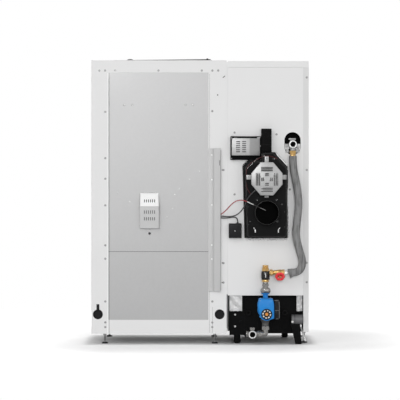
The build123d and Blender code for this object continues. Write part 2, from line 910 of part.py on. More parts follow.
def boiler_top_cover():
    outer = block(boiler_left, boiler_right, rear_y, front_y, cover_bottom, boiler_top)
    inner = block(boiler_left + sheet, boiler_right - sheet, rear_y + sheet, front_y - sheet,
                  cover_bottom, boiler_top - sheet)
    return fillet(outer.edges().group_by(Axis.Z)[-1], bend) - inner


def boiler_front_panel():
    outer = block(boiler_left, boiler_right, boiler_front, front_y, door_high + front_gap,
                  cover_bottom - fit_gap)
    outer = fillet(outer.edges().group_by(Axis.Y)[-1], 2 * bend)
    inner = block(boiler_left + sheet, boiler_right - sheet, boiler_front, front_y - sheet,
                  door_high + front_gap + sheet, cover_bottom - fit_gap - sheet)
    half = switch_width / 2
    switch_x, switch_z = switch_centre()
    hole = block(switch_x - half - 1, switch_x + half + 1, front_y - 2 * sheet, front_y + sheet,
                 switch_z - switch_height / 2 - switch_play, switch_z + switch_height / 2 + switch_play)
    yoke = block(switch_x - half - 6, switch_x - half - 1, front_y - 20, front_y - sheet,
                 switch_z - 10, switch_z + 10)
    yoke += block(switch_x + half + 1, switch_x + half + 6, front_y - 20, front_y - sheet,
                  switch_z - 10, switch_z + 10)
    yoke += rod((switch_x - half - 3, front_y - 10, switch_z), (switch_x + half + 3, front_y - 10, switch_z), 2)
    return outer - inner - hole + yoke


def switch_centre():
    return boiler_left + 90, display_low + display_height / 2


def main_switch():
    x, z = switch_centre()
    half = switch_width / 2
    rocker = block(x - half, x + half, front_y - switch_depth, front_y + switch_proud,
                   z - switch_height / 2, z + switch_height / 2)
    rocker = fillet(rocker.edges().filter_by(Axis.X), 2)
    pivot = (x, front_y - 10, z)
    bore = rod((x - half, *pivot[1:]), (x + half, *pivot[1:]), 2 + 0.1)
    return Pos(*pivot) * Rot(-switch_tilt, 0, 0) * Pos(-pivot[0], -pivot[1], -pivot[2]) * (rocker - bore)


def door_display():
    x = (boiler_left + boiler_right) / 2 + 40
    screen = block(x - display_width / 2, x + display_width / 2, front_y, front_y + display_proud,
                   display_low, display_low + display_height)
    return fillet(screen.edges().group_by(Axis.Y)[-1], 2)


def chamber_door():
    left = boiler_left + 2
    door = block(left, boiler_right - 1, boiler_front + fit_gap, front_y, door_low, door_high)
    door = fillet(door.edges().group_by(Axis.Y)[-1], 3)
    rear = boiler_front + fit_gap
    door -= block(left + door_edge, boiler_right - door_edge, rear + sheet, front_y - sheet,
                  door_low + sheet, door_high - sheet)
    plug = block(chamber_left - plug_margin, chamber_right + plug_margin, vessel_front + 1,
                 rear, chamber_low - plug_margin, chamber_high + plug_margin)
    plug -= block(chamber_left - plug_margin + vessel_wall, chamber_right + plug_margin - vessel_wall,
                  vessel_front + 1 + vessel_wall, rear - sheet, chamber_low - plug_margin + vessel_wall,
                  chamber_high + plug_margin - vessel_wall)
    bore = rod((door_hinge_x, door_hinge_y, door_low), (door_hinge_x, door_hinge_y, door_high),
               hinge_pin_radius + 0.1)
    latch_x, latch_z = latch_centre()
    door += rod((latch_x, rear, latch_z), (latch_x, front_y - sheet, latch_z), latch_hub_radius)
    latch_bore = rod((latch_x, front_y - 20, latch_z), (latch_x, front_y, latch_z), 5.1)
    return door + plug - bore - latch_bore


def latch_centre():
    return boiler_left + 46, (door_low + door_high) / 2


def door_latch():
    x, z = latch_centre()
    hub = rod((x, front_y + fit_gap, z), (x, front_y + handle_reach - 4, z), latch_hub_radius)
    grip = block(x - 11, x + 11, front_y + handle_reach - latch_thickness, front_y + handle_reach,
                 z - latch_length, z + 14)
    grip = fillet(grip.edges().filter_by(Axis.Z), 4)
    return hub + grip + rod((x, front_y - 19, z), (x, front_y + 2, z), 5)


def boiler_base():
    outer = block(base_left, base_right, base_rear, base_front, base_low, base_high)
    inner = block(base_left + base_wall, base_right - base_wall, base_rear + base_wall, base_front,
                  base_low + base_wall, base_high - base_wall)
    depth = ash_throat_depth / 2
    throat = block(chamber_left + ash_throat_gap, chamber_right - ash_throat_gap, throat_y - depth,
                   throat_y + depth, base_high - 2 * base_wall, base_high)
    base = outer - inner - throat
    for x in (base_left + base_boss_inset, base_right - base_boss_inset - 28):
        start = (x, base_rear, base_boss_height)
        end = (x, base_rear - base_boss_reach, base_boss_height)
        base = base + rod(start, end, base_boss_radius) - rod(start, end, base_boss_bore)
    return base


def legs_left():
    right = base_left + 16
    left = right - leg_plate_width
    plate = block(left, right, base_rear - base_wall, base_rear, leg_plate_low, leg_plate_high)
    for height in (leg_plate_low + 48, leg_plate_high - 28):
        plate -= rod((left + 31, base_rear - 9, height), (left + 31, base_rear + 9, height), leg_plate_hole)
    leg_x = base_left - 26
    shelf = block(leg_x - 22, base_left, base_rear, base_rear + 44, leg_plate_low, leg_plate_low + base_wall)
    post = rod((leg_x, base_rear + 22, leg_plate_low), (leg_x, base_rear + 22, 12), leg_radius)
    foot = taper((leg_x, base_rear + 22, 12), (leg_x, base_rear + 22, 0), leg_radius + 3, leg_radius - 4)
    return plate + shelf + post + foot


def legs_right():
    start_x = base_right - 30
    y = base_rear - leg_drum_radius - base_wall
    drum = rod((start_x, y, leg_drum_height), (start_x + leg_drum_length, y, leg_drum_height),
               leg_drum_radius)
    saddle = block(start_x, base_right, y, base_rear, leg_drum_height - 20, leg_drum_height + 20)
    top = leg_drum_height - leg_drum_radius + 4
    outline = [(start_x - 2, top), (start_x + 48, top), (start_x + 57, 0), (start_x + 23, 0)]
    half = leg_foot_thickness / 2
    return drum + saddle + prism(outline, y - half, y + half)


def legs_front():
    legs = []
    y = base_front - leg_front_gap
    for x in (base_left + leg_plate_width / 2, base_right - leg_plate_width / 2):
        post = rod((x, y, base_low), (x, y, 12), leg_radius)
        legs.append(post + taper((x, y, 12), (x, y, 0), leg_radius + 3, leg_radius - 4))
    return legs


def boiler_legs():
    return Compound([legs_left(), legs_right()] + legs_front())


def levelling_feet():
    near = rear_y + 60
    far = front_y - 80
    places = [(hopper_left + 72, near, casing_bottom), (hopper_right - 65, near, casing_bottom),
              (hopper_left + 72, far, casing_bottom), (hopper_right - 65, far, casing_bottom),
              (boiler_right - 19, near + 50, boiler_skirt), (boiler_right - 19, far, boiler_skirt)]
    feet = []
    for x, y, top in places:
        pad = rod((x, y, 0), (x, y, foot_pad_height), foot_pad_radius)
        pad = fillet(pad.edges().group_by(Axis.Z)[-1], foot_pad_height / 3)
        stem = rod((x, y, foot_pad_height), (x, y, top), foot_stem_radius)
        lock_nut = hexagon((x, y, top - 9), (x, y, top), foot_nut)
        feet.append(pad + stem + lock_nut)
    return Compound(feet)


def ash_box():
    left = base_left + base_wall + ash_clear
    right = base_right - base_wall - ash_clear
    low = base_low + base_wall + fit_gap
    high = base_high - base_wall - 18
    rear = base_front - ash_length
    outer = block(left, right, rear, front_y - front_tray, low, high)
    inner = block(left + ash_wall, right - ash_wall, rear + ash_wall, front_y - front_tray - ash_wall,
                  low + ash_wall, high)
    front = block(boiler_left + ash_front_margin, boiler_right - ash_front_margin, front_y - front_tray,
                  front_y, boiler_skirt, door_low - front_gap)
    front = fillet(front.edges().group_by(Axis.Y)[-1], 3)
    front -= block(boiler_left + 2 * ash_front_margin, boiler_right - 2 * ash_front_margin,
                   front_y - front_tray + sheet, front_y - sheet, boiler_skirt + ash_front_margin,
                   door_low - 2 * ash_front_margin)
    middle = (left + right) / 2
    grip_z = (boiler_skirt + door_low - front_gap) / 2
    for side in (-1, 1):
        x = middle + side * (handle_width / 2 - handle_bar)
        front += rod((x, front_y - front_tray + sheet, grip_z), (x, front_y + handle_post, grip_z), handle_bar - 1)
    front += rod((middle - handle_width / 2, front_y + handle_post, grip_z),
                 (middle + handle_width / 2, front_y + handle_post, grip_z), handle_bar)
    return outer - inner + front


def tube_places():
    y = rear_y + tube_centre_depth
    for row in range(tube_rows):
        for column in range(tube_columns):
            yield (vessel_x + (column - (tube_columns - 1) / 2) * tube_pitch,
                   y + (row - (tube_rows - 1) / 2) * tube_pitch)


# A hollow wall of the water vessel: a box with its water space, less what goes through it. Each
# way is a function that gives its shape with a wall around it.
def water_wall(x0, x1, y0, y1, z0, z1, ways=()):
    wall = block(x0, x1, y0, y1, z0, z1)
    water = block(x0 + vessel_wall, x1 - vessel_wall, y0 + vessel_wall, y1 - vessel_wall,
                  z0 + vessel_wall, z1 - vessel_wall)
    for way in ways:
        water -= way(tube_wall)
        wall -= way(0)
    return wall - water


def auger_way(wall):
    return rod((vessel_left - 1, auger_y, auger_height), (chamber_left + 1, auger_y, auger_height),
               auger_tube_radius + fit_gap + wall)


def ash_way(wall):
    depth = ash_throat_depth / 2 + wall
    return block(chamber_left + ash_throat_gap - wall, chamber_right - ash_throat_gap + wall,
                 throat_y - depth, throat_y + depth, base_high - 1, chamber_low + 1)


def tube_way(place):
    x, y = place
    return lambda wall: rod((x, y, chamber_high - 1), (x, y, vessel_top + 1), tube_radius + wall)


def flue_way(wall):
    slot = block(chamber_left + vessel_wall, chamber_right - vessel_wall, vessel_rear + flue_slot / 2 - wall,
                 vessel_rear + 1.5 * flue_slot + wall, fan_height - inlet_radius - wall, vessel_top + 1)
    return slot + rod((fan_x, vessel_rear - 1, fan_height), (fan_x, vessel_rear + flue_slot, fan_height),
                      inlet_radius + wall)


def water_vessel():
    rear, front = vessel_rear, vessel_front
    left = water_wall(vessel_left, chamber_left, rear, front, base_high, vessel_top, [auger_way])
    right = water_wall(chamber_right, vessel_right, rear, front, base_high, vessel_top)
    back = water_wall(chamber_left, chamber_right, rear, chamber_back, base_high, chamber_high)
    floor = water_wall(chamber_left, chamber_right, chamber_back, front, base_high, chamber_low, [ash_way])
    tubes = [tube_way(place) for place in tube_places()]
    upper = water_wall(chamber_left, chamber_right, rear, front, chamber_high, vessel_top, tubes + [flue_way])
    hood = block(vessel_left, vessel_right, vessel_rear, vessel_front, vessel_top, hood_top)
    hood -= block(vessel_left + hood_wall, vessel_right - hood_wall, vessel_rear + hood_wall,
                  vessel_front - hood_wall, vessel_top, hood_top - hood_wall)
    crank_z = crank_height()
    hood -= rod((vessel_x, vessel_front - 10, crank_z), (vessel_x, vessel_front + 1, crank_z),
                crank_radius + fit_gap)
    return Compound([left, right, back, floor, upper, hood])


def crank_height():
    return vessel_top + yoke_clear + yoke_height + yoke_plate_height / 2 + crank_rise() - 1


def crank_rise():
    return crank_arm * math.sin(math.radians(crank_swing))


def turbulators():
    low = vessel_top + yoke_clear
    xs = [x for x, y in tube_places()]
    ys = [y for x, y in tube_places()]
    half = yoke_rail / 2
    yoke = block(min(xs) - half, max(xs) + half, min(ys) - half, max(ys) + half, low, low + yoke_height)
    yoke -= block(min(xs) + half, max(xs) - half, min(ys) + half, max(ys) - half, low, low + yoke_height)
    for x, y in tube_places():
        hanger = rod((x, y, low - turbulator_length), (x, y, low + 1), turbulator_rod)
        blade = block(-turbulator_radius, turbulator_radius, -turbulator_blade / 2, turbulator_blade / 2, 0, 40)
        for step in range(6):
            place = Pos(x, y, low - turbulator_length + 10 + step * 58)
            hanger += place * Rot(0, 0, step * 45) * blade
        yoke += hanger
    # Upright plate with a level slot that the pin of the crank lifts it by
    front = max(ys) + half
    inner_reach = crank_arm * math.cos(math.radians(crank_swing))
    slot_x = vessel_x + (inner_reach + crank_arm) / 2
    slot_z = crank_height() - crank_rise()
    plate = block(slot_x - yoke_plate_width / 2, slot_x + yoke_plate_width / 2, front - yoke_plate, front,
                  low + yoke_height, low + yoke_height + yoke_plate_height)
    reach = (crank_arm - inner_reach) / 2 + crank_pin_radius + crank_slot_play
    slot = block(slot_x - reach, slot_x + reach, front - yoke_plate, front,
                 slot_z - crank_pin_radius - crank_slot_play, slot_z + crank_pin_radius + crank_slot_play)
    return yoke + (plate - slot)


def cleaning_crank():
    z = crank_height()
    start = max(y for x, y in tube_places()) + yoke_rail
    arm_depth = 8
    shaft = rod((vessel_x, start, z), (vessel_x, vessel_front + 30, z), crank_radius)
    knob = rod((vessel_x, vessel_front + 4, z), (vessel_x, vessel_front + 30, z), crank_knob_radius)
    half = crank_arm_width / 2
    y0 = vessel_front + 6
    weight = rod((-counterweight_reach, y0, 0), (-counterweight_reach, y0 + counterweight_depth, 0),
                 counterweight_radius)
    weight += block(-counterweight_reach, 0, y0 + 4, y0 + 12, -crank_arm_width, crank_arm_width)
    arm = block(0, crank_arm, start, start + arm_depth, -half, half)
    arm += rod((crank_arm, start, 0), (crank_arm, start + arm_depth, 0), half)
    arm += rod((crank_arm, start + 1, 0), (crank_arm, start - 8 - yoke_plate, 0), crank_pin_radius)
    return shaft + knob + Pos(vessel_x, 0, z) * Rot(0, crank_swing, 0) * (arm + weight)


def burner_grate():
    half = (chamber_right - chamber_left) / 2 - grate_gap
    depth_half = grate_depth / 2
    inset = grate_wall + grate_hole_margin
    width_pitch = 2 * (half - inset) / (grate_holes - 1)
    depth_pitch = 2 * (depth_half - inset) / (grate_holes - 1)
    low = chamber_low
    ring = block(vessel_x - half, vessel_x + half, throat_y - depth_half, throat_y + depth_half,
                 low, low + grate_height)
    ring -= block(vessel_x - half + grate_wall, vessel_x + half - grate_wall,
                  throat_y - depth_half + grate_wall, throat_y + depth_half - grate_wall,
                  low + grate_plate, low + grate_height)
    for row in range(grate_holes):
        for column in range(grate_holes):
            x = vessel_x + (column - (grate_holes - 1) / 2) * width_pitch
            y = throat_y + (row - (grate_holes - 1) / 2) * depth_pitch
            ring -= rod((x, y, low), (x, y, low + grate_plate), grate_hole_radius)
    return ring


def vessel_insulation():
    rear = vessel_rear
    front = vessel_front - 30
    mats = []
    for inner, outward, flap_inner in ((vessel_left, -1, base_left), (vessel_right, 1, base_right)):
        start = inner + outward * fit_gap
        low = base_high + 2
        mat = block(start, start + outward * (mat_thickness - 6), rear, front, low, vessel_top)
        if outward < 0:
            mat -= rod((start - mat_thickness, auger_y, auger_height), (start, auger_y, auger_height),
                       auger_tube_radius + 2)
        flap_start = flap_inner + outward * fit_gap
        flap_end = start + outward * (mat_thickness - 6)
        y0 = rear_y + mat_rear_gap
        flap = block(flap_start, flap_end, y0, y0 + mat_flap, mat_low, low + 60)
        bridge = block(start, start + outward * (mat_thickness - 6), y0, rear, low, low + 60)
        mats.append(mat + flap + bridge)
    return Compound(mats)


def housing_outline(inset):
    return [(fan_x - housing_left_top + inset, fan_height + housing_shoulder),
            (fan_x - housing_left_top + inset + 30, fan_height + housing_notch),
            (fan_x + housing_crown_left, fan_height + housing_notch),
            (fan_x + housing_crown_left, fan_height + housing_crown - inset),
            (fan_x + housing_crown_right, fan_height + housing_crown - inset),
            (fan_x + housing_right - inset, fan_height + housing_shoulder),
            (fan_x + housing_right - inset, housing_low + inset),
            (fan_x - housing_left_low + inset, housing_low + inset)]


def flue_housing():
    back = prism(housing_outline(0), rear_y - housing_rim, rear_y)
    front = prism(housing_outline(housing_lip), housing_y, rear_y - housing_rim)
    y0 = housing_y + housing_wall
    y1 = rear_y - housing_wall
    room = rod((fan_x, y0, fan_height), (fan_x, y1, fan_height), wheel_radius + 8)
    duct = block(fan_x - outlet_radius, fan_x + outlet_radius, y0, y1, outlet_height - outlet_radius,
                 fan_height)
    mouth = rod((fan_x, housing_y, outlet_height), (fan_x, y0, outlet_height), outlet_radius - outlet_wall)
    shaft = rod((fan_x, housing_y, fan_height), (fan_x, y0, fan_height), motor_shaft_radius + 4)
    inlet = rod((fan_x, y1, fan_height), (fan_x, rear_y, fan_height), inlet_radius)
    collar = rod((fan_x, rear_y, fan_height), (fan_x, vessel_rear, fan_height), inlet_radius + 3)
    collar -= rod((fan_x, rear_y, fan_height), (fan_x, vessel_rear, fan_height), inlet_radius)
    return back + front - room - duct - mouth - shaft - inlet + collar


def cover_outline(inset):
    half_w = cover_half_width - inset
    half_h = cover_half_height - inset
    points = [(-cover_top_half, half_h), (cover_top_half, half_h), (half_w, cover_side_half),
              (half_w, -cover_side_half), (cover_top_half, -half_h), (-cover_top_half, -half_h),
              (-half_w, -cover_side_half), (-half_w, cover_side_half)]
    return [(fan_x + x, fan_height + z) for x, z in points]


# Slots of the louvres, as centre and size seen from behind.
def louvre_places():
    for rise in (66.0, 53.0, 40.0):
        yield 0, rise, 66, louvre
        yield 0, -rise, 66, louvre
    for rise in (28.0, 20.0):
        yield 0, rise, 22, louvre
        yield 0, -rise, 22, louvre
    for shift in (57.0, 48.0, 39.0):
        yield shift, 0, louvre, 68
        yield -shift, 0, louvre, 68
    for shift in (28.0, 19.0):
        yield shift, 0, louvre, 19
        yield -shift, 0, louvre, 19


def motor_cover():
    cover = prism(cover_outline(0), cover_face_y, housing_y)
    cover = fillet(cover.edges().group_by(Axis.Y)[0], 2)
    cover -= prism(cover_outline(cover_sheet), cover_face_y + cover_sheet, housing_y)
    for x, z, width, height in louvre_places():
        cover -= block(fan_x + x - width / 2, fan_x + x + width / 2, cover_face_y, cover_face_y + 3,
                       fan_height + z - height / 2, fan_height + z + height / 2)
    half = cover_tab / 2
    y0 = housing_y - cover_sheet
    top = fan_height + cover_half_height
    cover += block(fan_x - half, fan_x + half, y0, housing_y, top - cover_sheet, top + cover_top_reach)
    side = cover_half_width
    for sign in (-1, 1):
        cover += block(fan_x + sign * (side - cover_sheet), fan_x + sign * (side + cover_tab_reach), y0,
                       housing_y, fan_height - 3, fan_height + cover_tab)
    low = fan_height - cover_half_height
    return cover + block(fan_x - half, fan_x + half, y0, housing_y, low - 12, low + cover_sheet)


def fan_motor():
    motor = rod((fan_x, housing_y, fan_height), (fan_x, housing_y - motor_length, fan_height), motor_radius)
    motor = fillet(motor.edges().group_by(Axis.Y)[0], 5)
    return motor - rod((fan_x, housing_y, fan_height), (fan_x, housing_y - 24, fan_height),
                       motor_shaft_radius + fit_gap)


def fan_impeller():
    y0 = housing_y + housing_wall + 8
    disc = rod((fan_x, y0, fan_height), (fan_x, y0 + wheel_sheet, fan_height), wheel_radius)
    hub = rod((fan_x, y0, fan_height), (fan_x, y0 + 20, fan_height), 14)
    shaft = rod((fan_x, housing_y - 22, fan_height), (fan_x, y0 + 2, fan_height), motor_shaft_radius)
    wheel = disc + hub + shaft
    for index in range(wheel_blades):
        blade = block(wheel_eye, wheel_radius, y0, y0 + wheel_depth, -1, 1)
        wheel += Pos(fan_x, 0, fan_height) * Rot(0, index * 360 / wheel_blades, 0) * blade
    return wheel


def flue_outlet():
    start = (fan_x, housing_y, outlet_height)
    step = (fan_x, outlet_y, outlet_height)
    end = (fan_x, outlet_y - outlet_nose, outlet_height)
    outlet = rod(start, step, outlet_radius + outlet_step) + rod(step, end, outlet_radius)
    outlet -= rod(start, end, outlet_radius - outlet_wall)
    near, far = probe_ends()
    return outlet - rod(near, far, probe_radius + fit_gap)


# Tip of the probe in the outlet, and the far end of its sheath.
def probe_ends():
    tip = (fan_x - 5, probe_y, outlet_height + 12)
    angle = math.radians(155)
    reach = 112
    return tip, (tip[0] + reach * math.cos(angle), probe_y, tip[2] + reach * math.sin(angle))


def flue_probe():
    tip, end = probe_ends()
    line = Vector(*end) - Vector(*tip)
    unit = line.normalized()
    at = lambda share: tuple(Vector(*tip) + unit * share)
    gland = rod(at(outlet_radius + 7), at(outlet_radius + 16), probe_radius + 4)
    sheath = rod(at(outlet_radius + 16), end, probe_sheath_radius)
    return rod(tip, at(outlet_radius + 8), probe_radius) + gland + sheath


def control_bracket():
    y0 = rear_y - bracket_proud
    plate = block(bracket_left, bracket_right, y0, y0 + bracket_sheet, bracket_low, bracket_high)
    top = block(bracket_left, bracket_right, y0, rear_y, bracket_high - bracket_sheet, bracket_high)
    side = block(bracket_left, bracket_left + bracket_sheet, y0, rear_y, bracket_low, bracket_high)
    return plate + top + side


def slotted_cover():
    y0 = rear_y - bracket_proud
    left = bracket_left + cover_margin_side
    right = bracket_right - cover_margin_side
    low = bracket_low + cover_margin_low
    high = bracket_high - cover_margin_high
    face = y0 - slotted_depth
    knee = right - slotted_slope
    profile = [(left, y0), (left, face), (knee, face), (right, y0 - slotted_edge), (right, y0)]
    ground = Plane.XY.offset(low)
    outer = extrude(ground * make_face(Polyline(*profile, close=True)), high - low, dir=(0, 0, 1))
    wall = thin_sheet
    inner_profile = [(left + wall, y0), (left + wall, face + wall), (knee - wall / 2, face + wall),
                     (right - wall, y0 - slotted_edge + wall / 2), (right - wall, y0)]
    ground = Plane.XY.offset(low + wall)
    inner = extrude(ground * make_face(Polyline(*inner_profile, close=True)), high - low - 2 * wall,
                    dir=(0, 0, 1))
    cover = outer - inner
    for column in range(2):
        for row in range(slot_rows):
            x = left + 34 + column * slot_column_gap
            z = (low + high) / 2 + (row - (slot_rows - 1) / 2) * slot_pitch
            cover -= block(x - slot_width / 2, x + slot_width / 2, face, face + 2 * wall,
                           z - slot_height / 2, z + slot_height / 2)
    return cover


def black_riser():
    y0 = rear_y - riser_proud
    right = riser_left + riser_width
    outer = block(riser_left, right, y0, rear_y, riser_low, riser_high)
    outer = fillet(outer.edges().group_by(Axis.Y)[0], 2)
    inner = block(riser_left + bracket_sheet, right - bracket_sheet, y0 + bracket_sheet, rear_y,
                  riser_low, riser_high - bracket_sheet)
    return outer - inner


def sensor_box():
    right = sensor_left + box_width
    body = block(sensor_left, right, rear_y - box_proud, rear_y, box_low, box_high)
    body = fillet(body.edges().filter_by(Axis.Y), 3)
    seam = box_proud * 0.4
    groove = block(sensor_left, right, rear_y - seam - box_groove, rear_y - seam, box_low, box_high)
    groove -= block(sensor_left + 1, right - 1, rear_y - box_proud, rear_y, box_low + 1, box_high - 1)
    x = sensor_left + box_gland_inset
    y = rear_y - box_proud / 2
    gland = rod((x, y, box_high - 2), (x, y, box_high + box_gland_height), box_gland_radius)
    return body - groove + gland


def flow_fitting():
    end_y = flow_y - flow_reach
    body = rod((flow_x, vessel_rear, flow_height), (flow_x, flow_y, flow_height), pipe_radius + 1)
    body += rod((flow_x, rear_y - 8, flow_height), (flow_x, end_y, flow_height), port_radius)
    body += rod((flow_x, flow_y, flow_height), (flow_x, flow_y, nipple_top), pipe_radius)
    body -= rod((flow_x, end_y, flow_height), (flow_x, end_y + thread_length, flow_height), thread_radius)
    clip_z = flow_height + flow_clip_rise
    half = flow_clip_width / 2
    body += block(flow_x - half, flow_x + half, rear_y - 14, rear_y - 11, clip_z, clip_z + flow_clip_height)
    body += block(flow_x - 6, flow_x + 6, rear_y - 14, rear_y - 11, flow_height, clip_z + 2)
    middle = (nipple_top + nipple_low) / 2
    nipple = hexagon((flow_x, flow_y, nipple_top), (flow_x, flow_y, middle), 2 * nipple_radius - 3)
    nipple += rod((flow_x, flow_y, middle), (flow_x, flow_y, nipple_low), nipple_radius - 2)
    return Compound([body, nipple])


def nut_end_x():
    return bonnet_x + nut_reach


def bypass_valve():
    left = pump_x + mixing_radius - 2
    right = nut_end_x() - chrome_nut
    axis = lambda x: (x, pipe_y, brass_height)
    body = rod(axis(left), axis(right), brass_radius)
    body += hexagon(axis(left + 4), axis(left + 4 + brass_hex_length), brass_hex)
    body += hexagon(axis(right - brass_hex_length), axis(right), brass_hex)
    body += rod(axis(bonnet_x - brass_radius), axis(bonnet_x + brass_radius), brass_radius + 3)
    body += hexagon(axis(right), axis(right + chrome_nut), brass_hex - 5)
    body += rod(axis(right + chrome_nut - 1), axis(nut_end_x() - fit_gap), 10)
    body += rod(axis(bonnet_x), bonnet_point(bonnet_length), bonnet_radius)
    body += hexagon(bonnet_point(bonnet_length - 10), bonnet_point(bonnet_length), 2 * bonnet_radius + 4)
    body -= rod(bonnet_point(bonnet_length - 14), bonnet_point(bonnet_length), stem_radius + fit_gap)
    room = rod((pump_x, pipe_y, brass_height - 60), (pump_x, pipe_y, brass_height + 60), mixing_radius + fit_gap)
    return body - room


def bonnet_point(distance):
    angle = math.radians(bonnet_tilt)
    return (bonnet_x, pipe_y - distance * math.cos(angle), brass_height - distance * math.sin(angle))


def handwheel():
    start = bonnet_point(bonnet_length + 2)
    end = bonnet_point(bonnet_length + 2 + wheel_thickness)
    middle = bonnet_point(bonnet_length + 2 + wheel_thickness / 2)
    base = Plane(origin=middle, x_dir=(1, 0, 0), z_dir=Vector(*end) - Vector(*start))
    rim = wheel_rim_radius - wheel_rim_tube
    wheel = base * Cylinder(rim + 2, wheel_thickness)
    for index in range(wheel_lobes):
        turn = base * Rot(0, 0, index * 360 / wheel_lobes)
        wheel += turn * Pos(rim, 0, 0) * Cylinder(wheel_rim_tube + 1.6, wheel_thickness)
    wheel -= base * Cylinder(rim - wheel_rim_tube, 2 * wheel_thickness)
    for index in range(wheel_lobes // 2):
        turn = base * Rot(0, 0, index * 720 / wheel_lobes)
        wheel += turn * Pos(wheel_rim_radius / 2 - 2, 0, 0) * Box(wheel_rim_radius - 8, wheel_spoke, 5)
    wheel += rod(start, end, wheel_hub)
    return wheel + rod(bonnet_point(bonnet_length - 12), start, stem_radius)


def mixing_valve():
    axis = lambda z: (pump_x, pipe_y, z)
    body = rod(axis(mixing_low), axis(mixing_high), mixing_radius)
    body = fillet(body.edges().group_by(Axis.Z)[-1], 3)
    cap_low = mixing_high
    cap = hexagon(axis(cap_low), axis(cap_low + mixing_cap_height / 2), 2 * mixing_cap_radius - 3)
    cap += rod(axis(cap_low), axis(cap_low + mixing_cap_height), mixing_cap_radius - 4)
    ring = rod(axis(mixing_low - 13), axis(mixing_low), mixing_cap_radius)
    return Compound([body, cap, ring])


def pump_low():
    return pump_height - pump_length / 2


def pump_high():
    return pump_height + pump_length / 2


def pump_unions():
    axis = lambda z: (pump_x, pipe_y, z)
    high = pump_high()
    upper = hexagon(axis(high), axis(union_top), union_nut)
    upper = fillet(upper.edges().group_by(Axis.Z)[-1] + upper.edges().group_by(Axis.Z)[0], 4)
    upper += rod(axis(union_top), axis(mixing_low - 13), pipe_radius)
    upper += hexagon(axis(union_top + 8), axis(union_top + 20), 2 * pipe_radius + 4)
    low = pump_low()
    lower = hexagon(axis(low), axis(low - lower_nut_height), lower_nut)
    lower += rod(axis(low - lower_nut_height), axis(low - lower_nut_height - 6), pipe_radius)
    return Compound([upper, lower])


def pump_outline():
    points = [(-37, 62), (37, 62), (45, 32), (45, -44), (36, -48), (3, -56), (-24, -48), (-37, -14),
              (-46, 22), (-42, 46)]
    return [(pump_x + x, pump_height + z) for x, z in points]


def pump_body():
    head = prism(pump_outline(), pipe_y - pump_head_reach, pipe_y - pump_head_start)
    head = fillet(head.edges().group_by(Axis.Y)[0], pump_edge)
    volute = rod((pump_x, pipe_y - pump_head_start, pump_height), (pump_x, pipe_y + pump_volute_back, pump_height),
                 pump_volute_radius)
    neck = rod((pump_x, pipe_y, pump_height), (pump_x, pipe_y, pump_high()), pump_port_radius)
    top = rod((pump_x, pipe_y, pump_high() - pump_flange_height), (pump_x, pipe_y, pump_high()),
              pump_flange_radius)
    low = pump_low()
    cone = taper((pump_x, pipe_y, low + lower_cone_height), (pump_x, pipe_y, low), lower_cone_radius,
                 pump_port_radius + 4)
    dial = dial_centre()
    seat = rod((dial[0], pipe_y - pump_head_reach, dial[1]),
               (dial[0], pipe_y - pump_head_reach + dial_stem_length + 2, dial[1]), dial_stem_radius + 0.2)
    return head + volute + neck + top + cone - seat


def dial_centre():
    return pump_x + dial_shift, pump_height - dial_drop


def pump_dial():
    x, z = dial_centre()
    face = pipe_y - pump_head_reach
    ring_y = face - dial_height * 0.6
    dial = rod((x, face - fit_gap, z), (x, ring_y, z), dial_radius)
    dial = fillet(dial.edges().group_by(Axis.Y)[0], 1.5)
    dial += rod((x, ring_y, z), (x, face - dial_height, z), dial_knob_radius)
    dial += block(x - 2, x + 2, face - dial_height, ring_y, z, z + dial_radius - 6)
    return dial + rod((x, face - fit_gap, z), (x, face + dial_stem_length, z), dial_stem_radius)


def pump_connector():
    left = pump_x + 45 + fit_gap
    right = left + plug_width
    y0 = pipe_y - pump_head_start - plug_depth
    low = pump_height + plug_rise - plug_height
    box = block(left, right, y0, y0 + plug_depth, low, pump_height + plug_rise)
    return fillet(box.edges().filter_by(Axis.Y).group_by(Axis.Z)[-1], 12)


def return_tee():
    z = return_height
    corner = (pump_x, pipe_y, z)
    centre = (return_x, pipe_y, z)
    top = pump_low() - lower_nut_height - 6
    tee = rod(corner, (pump_x, pipe_y, top), pipe_radius) + ball(corner, pipe_radius)
    tee += rod(corner, centre, pipe_radius)
    tee += hexagon((pump_x - 36, pipe_y, z), (pump_x - 22, pipe_y, z), 2 * pipe_radius + 5)
    tee += rod(centre, (return_x - return_stub, pipe_y, z), pipe_radius)
    tee += rod(centre, (return_x, base_rear, z), pipe_radius - 2)
    tee += rod((return_x, pipe_y + 12, z), (return_x, pipe_y - return_reach, z), port_radius - 1)
    tee += hexagon(centre, (return_x, pipe_y, z + return_cap_rise), return_cap)
    end = pipe_y - return_reach
    return tee - rod((return_x, end, z), (return_x, end + thread_length, z), thread_radius)


# Routes of the free cords, as points in millimetres.
hose_route = [(flow_x, flow_y, nipple_low), (flow_x, flow_y, 976), (529, flow_y - 8, 882),
              (543, flow_y - 14, 776), (530, flow_y - 18, 669), (524, flow_y - 22, 590),
              (546, flow_y - 25, 508), (560, pipe_y, 466), (557, pipe_y, 424),
              (529, pipe_y, brass_height), (nut_end_x(), pipe_y, brass_height)]


def cable_exit(drop):
    return channel_right + fit_gap, rear_y - channel_proud / 2, cable_exit_height + drop


def probe_route():
    tip, end = probe_ends()
    beyond = Vector(*end) + (Vector(*end) - Vector(*tip)).normalized() * probe_lead
    x0, y0, z0 = cable_exit(8)
    return [(x0, y0, z0), (138, y0, 729), (164, y0 - 26, 762), (196, y0 - 58, 789),
            (beyond.X, beyond.Y, beyond.Z), end]


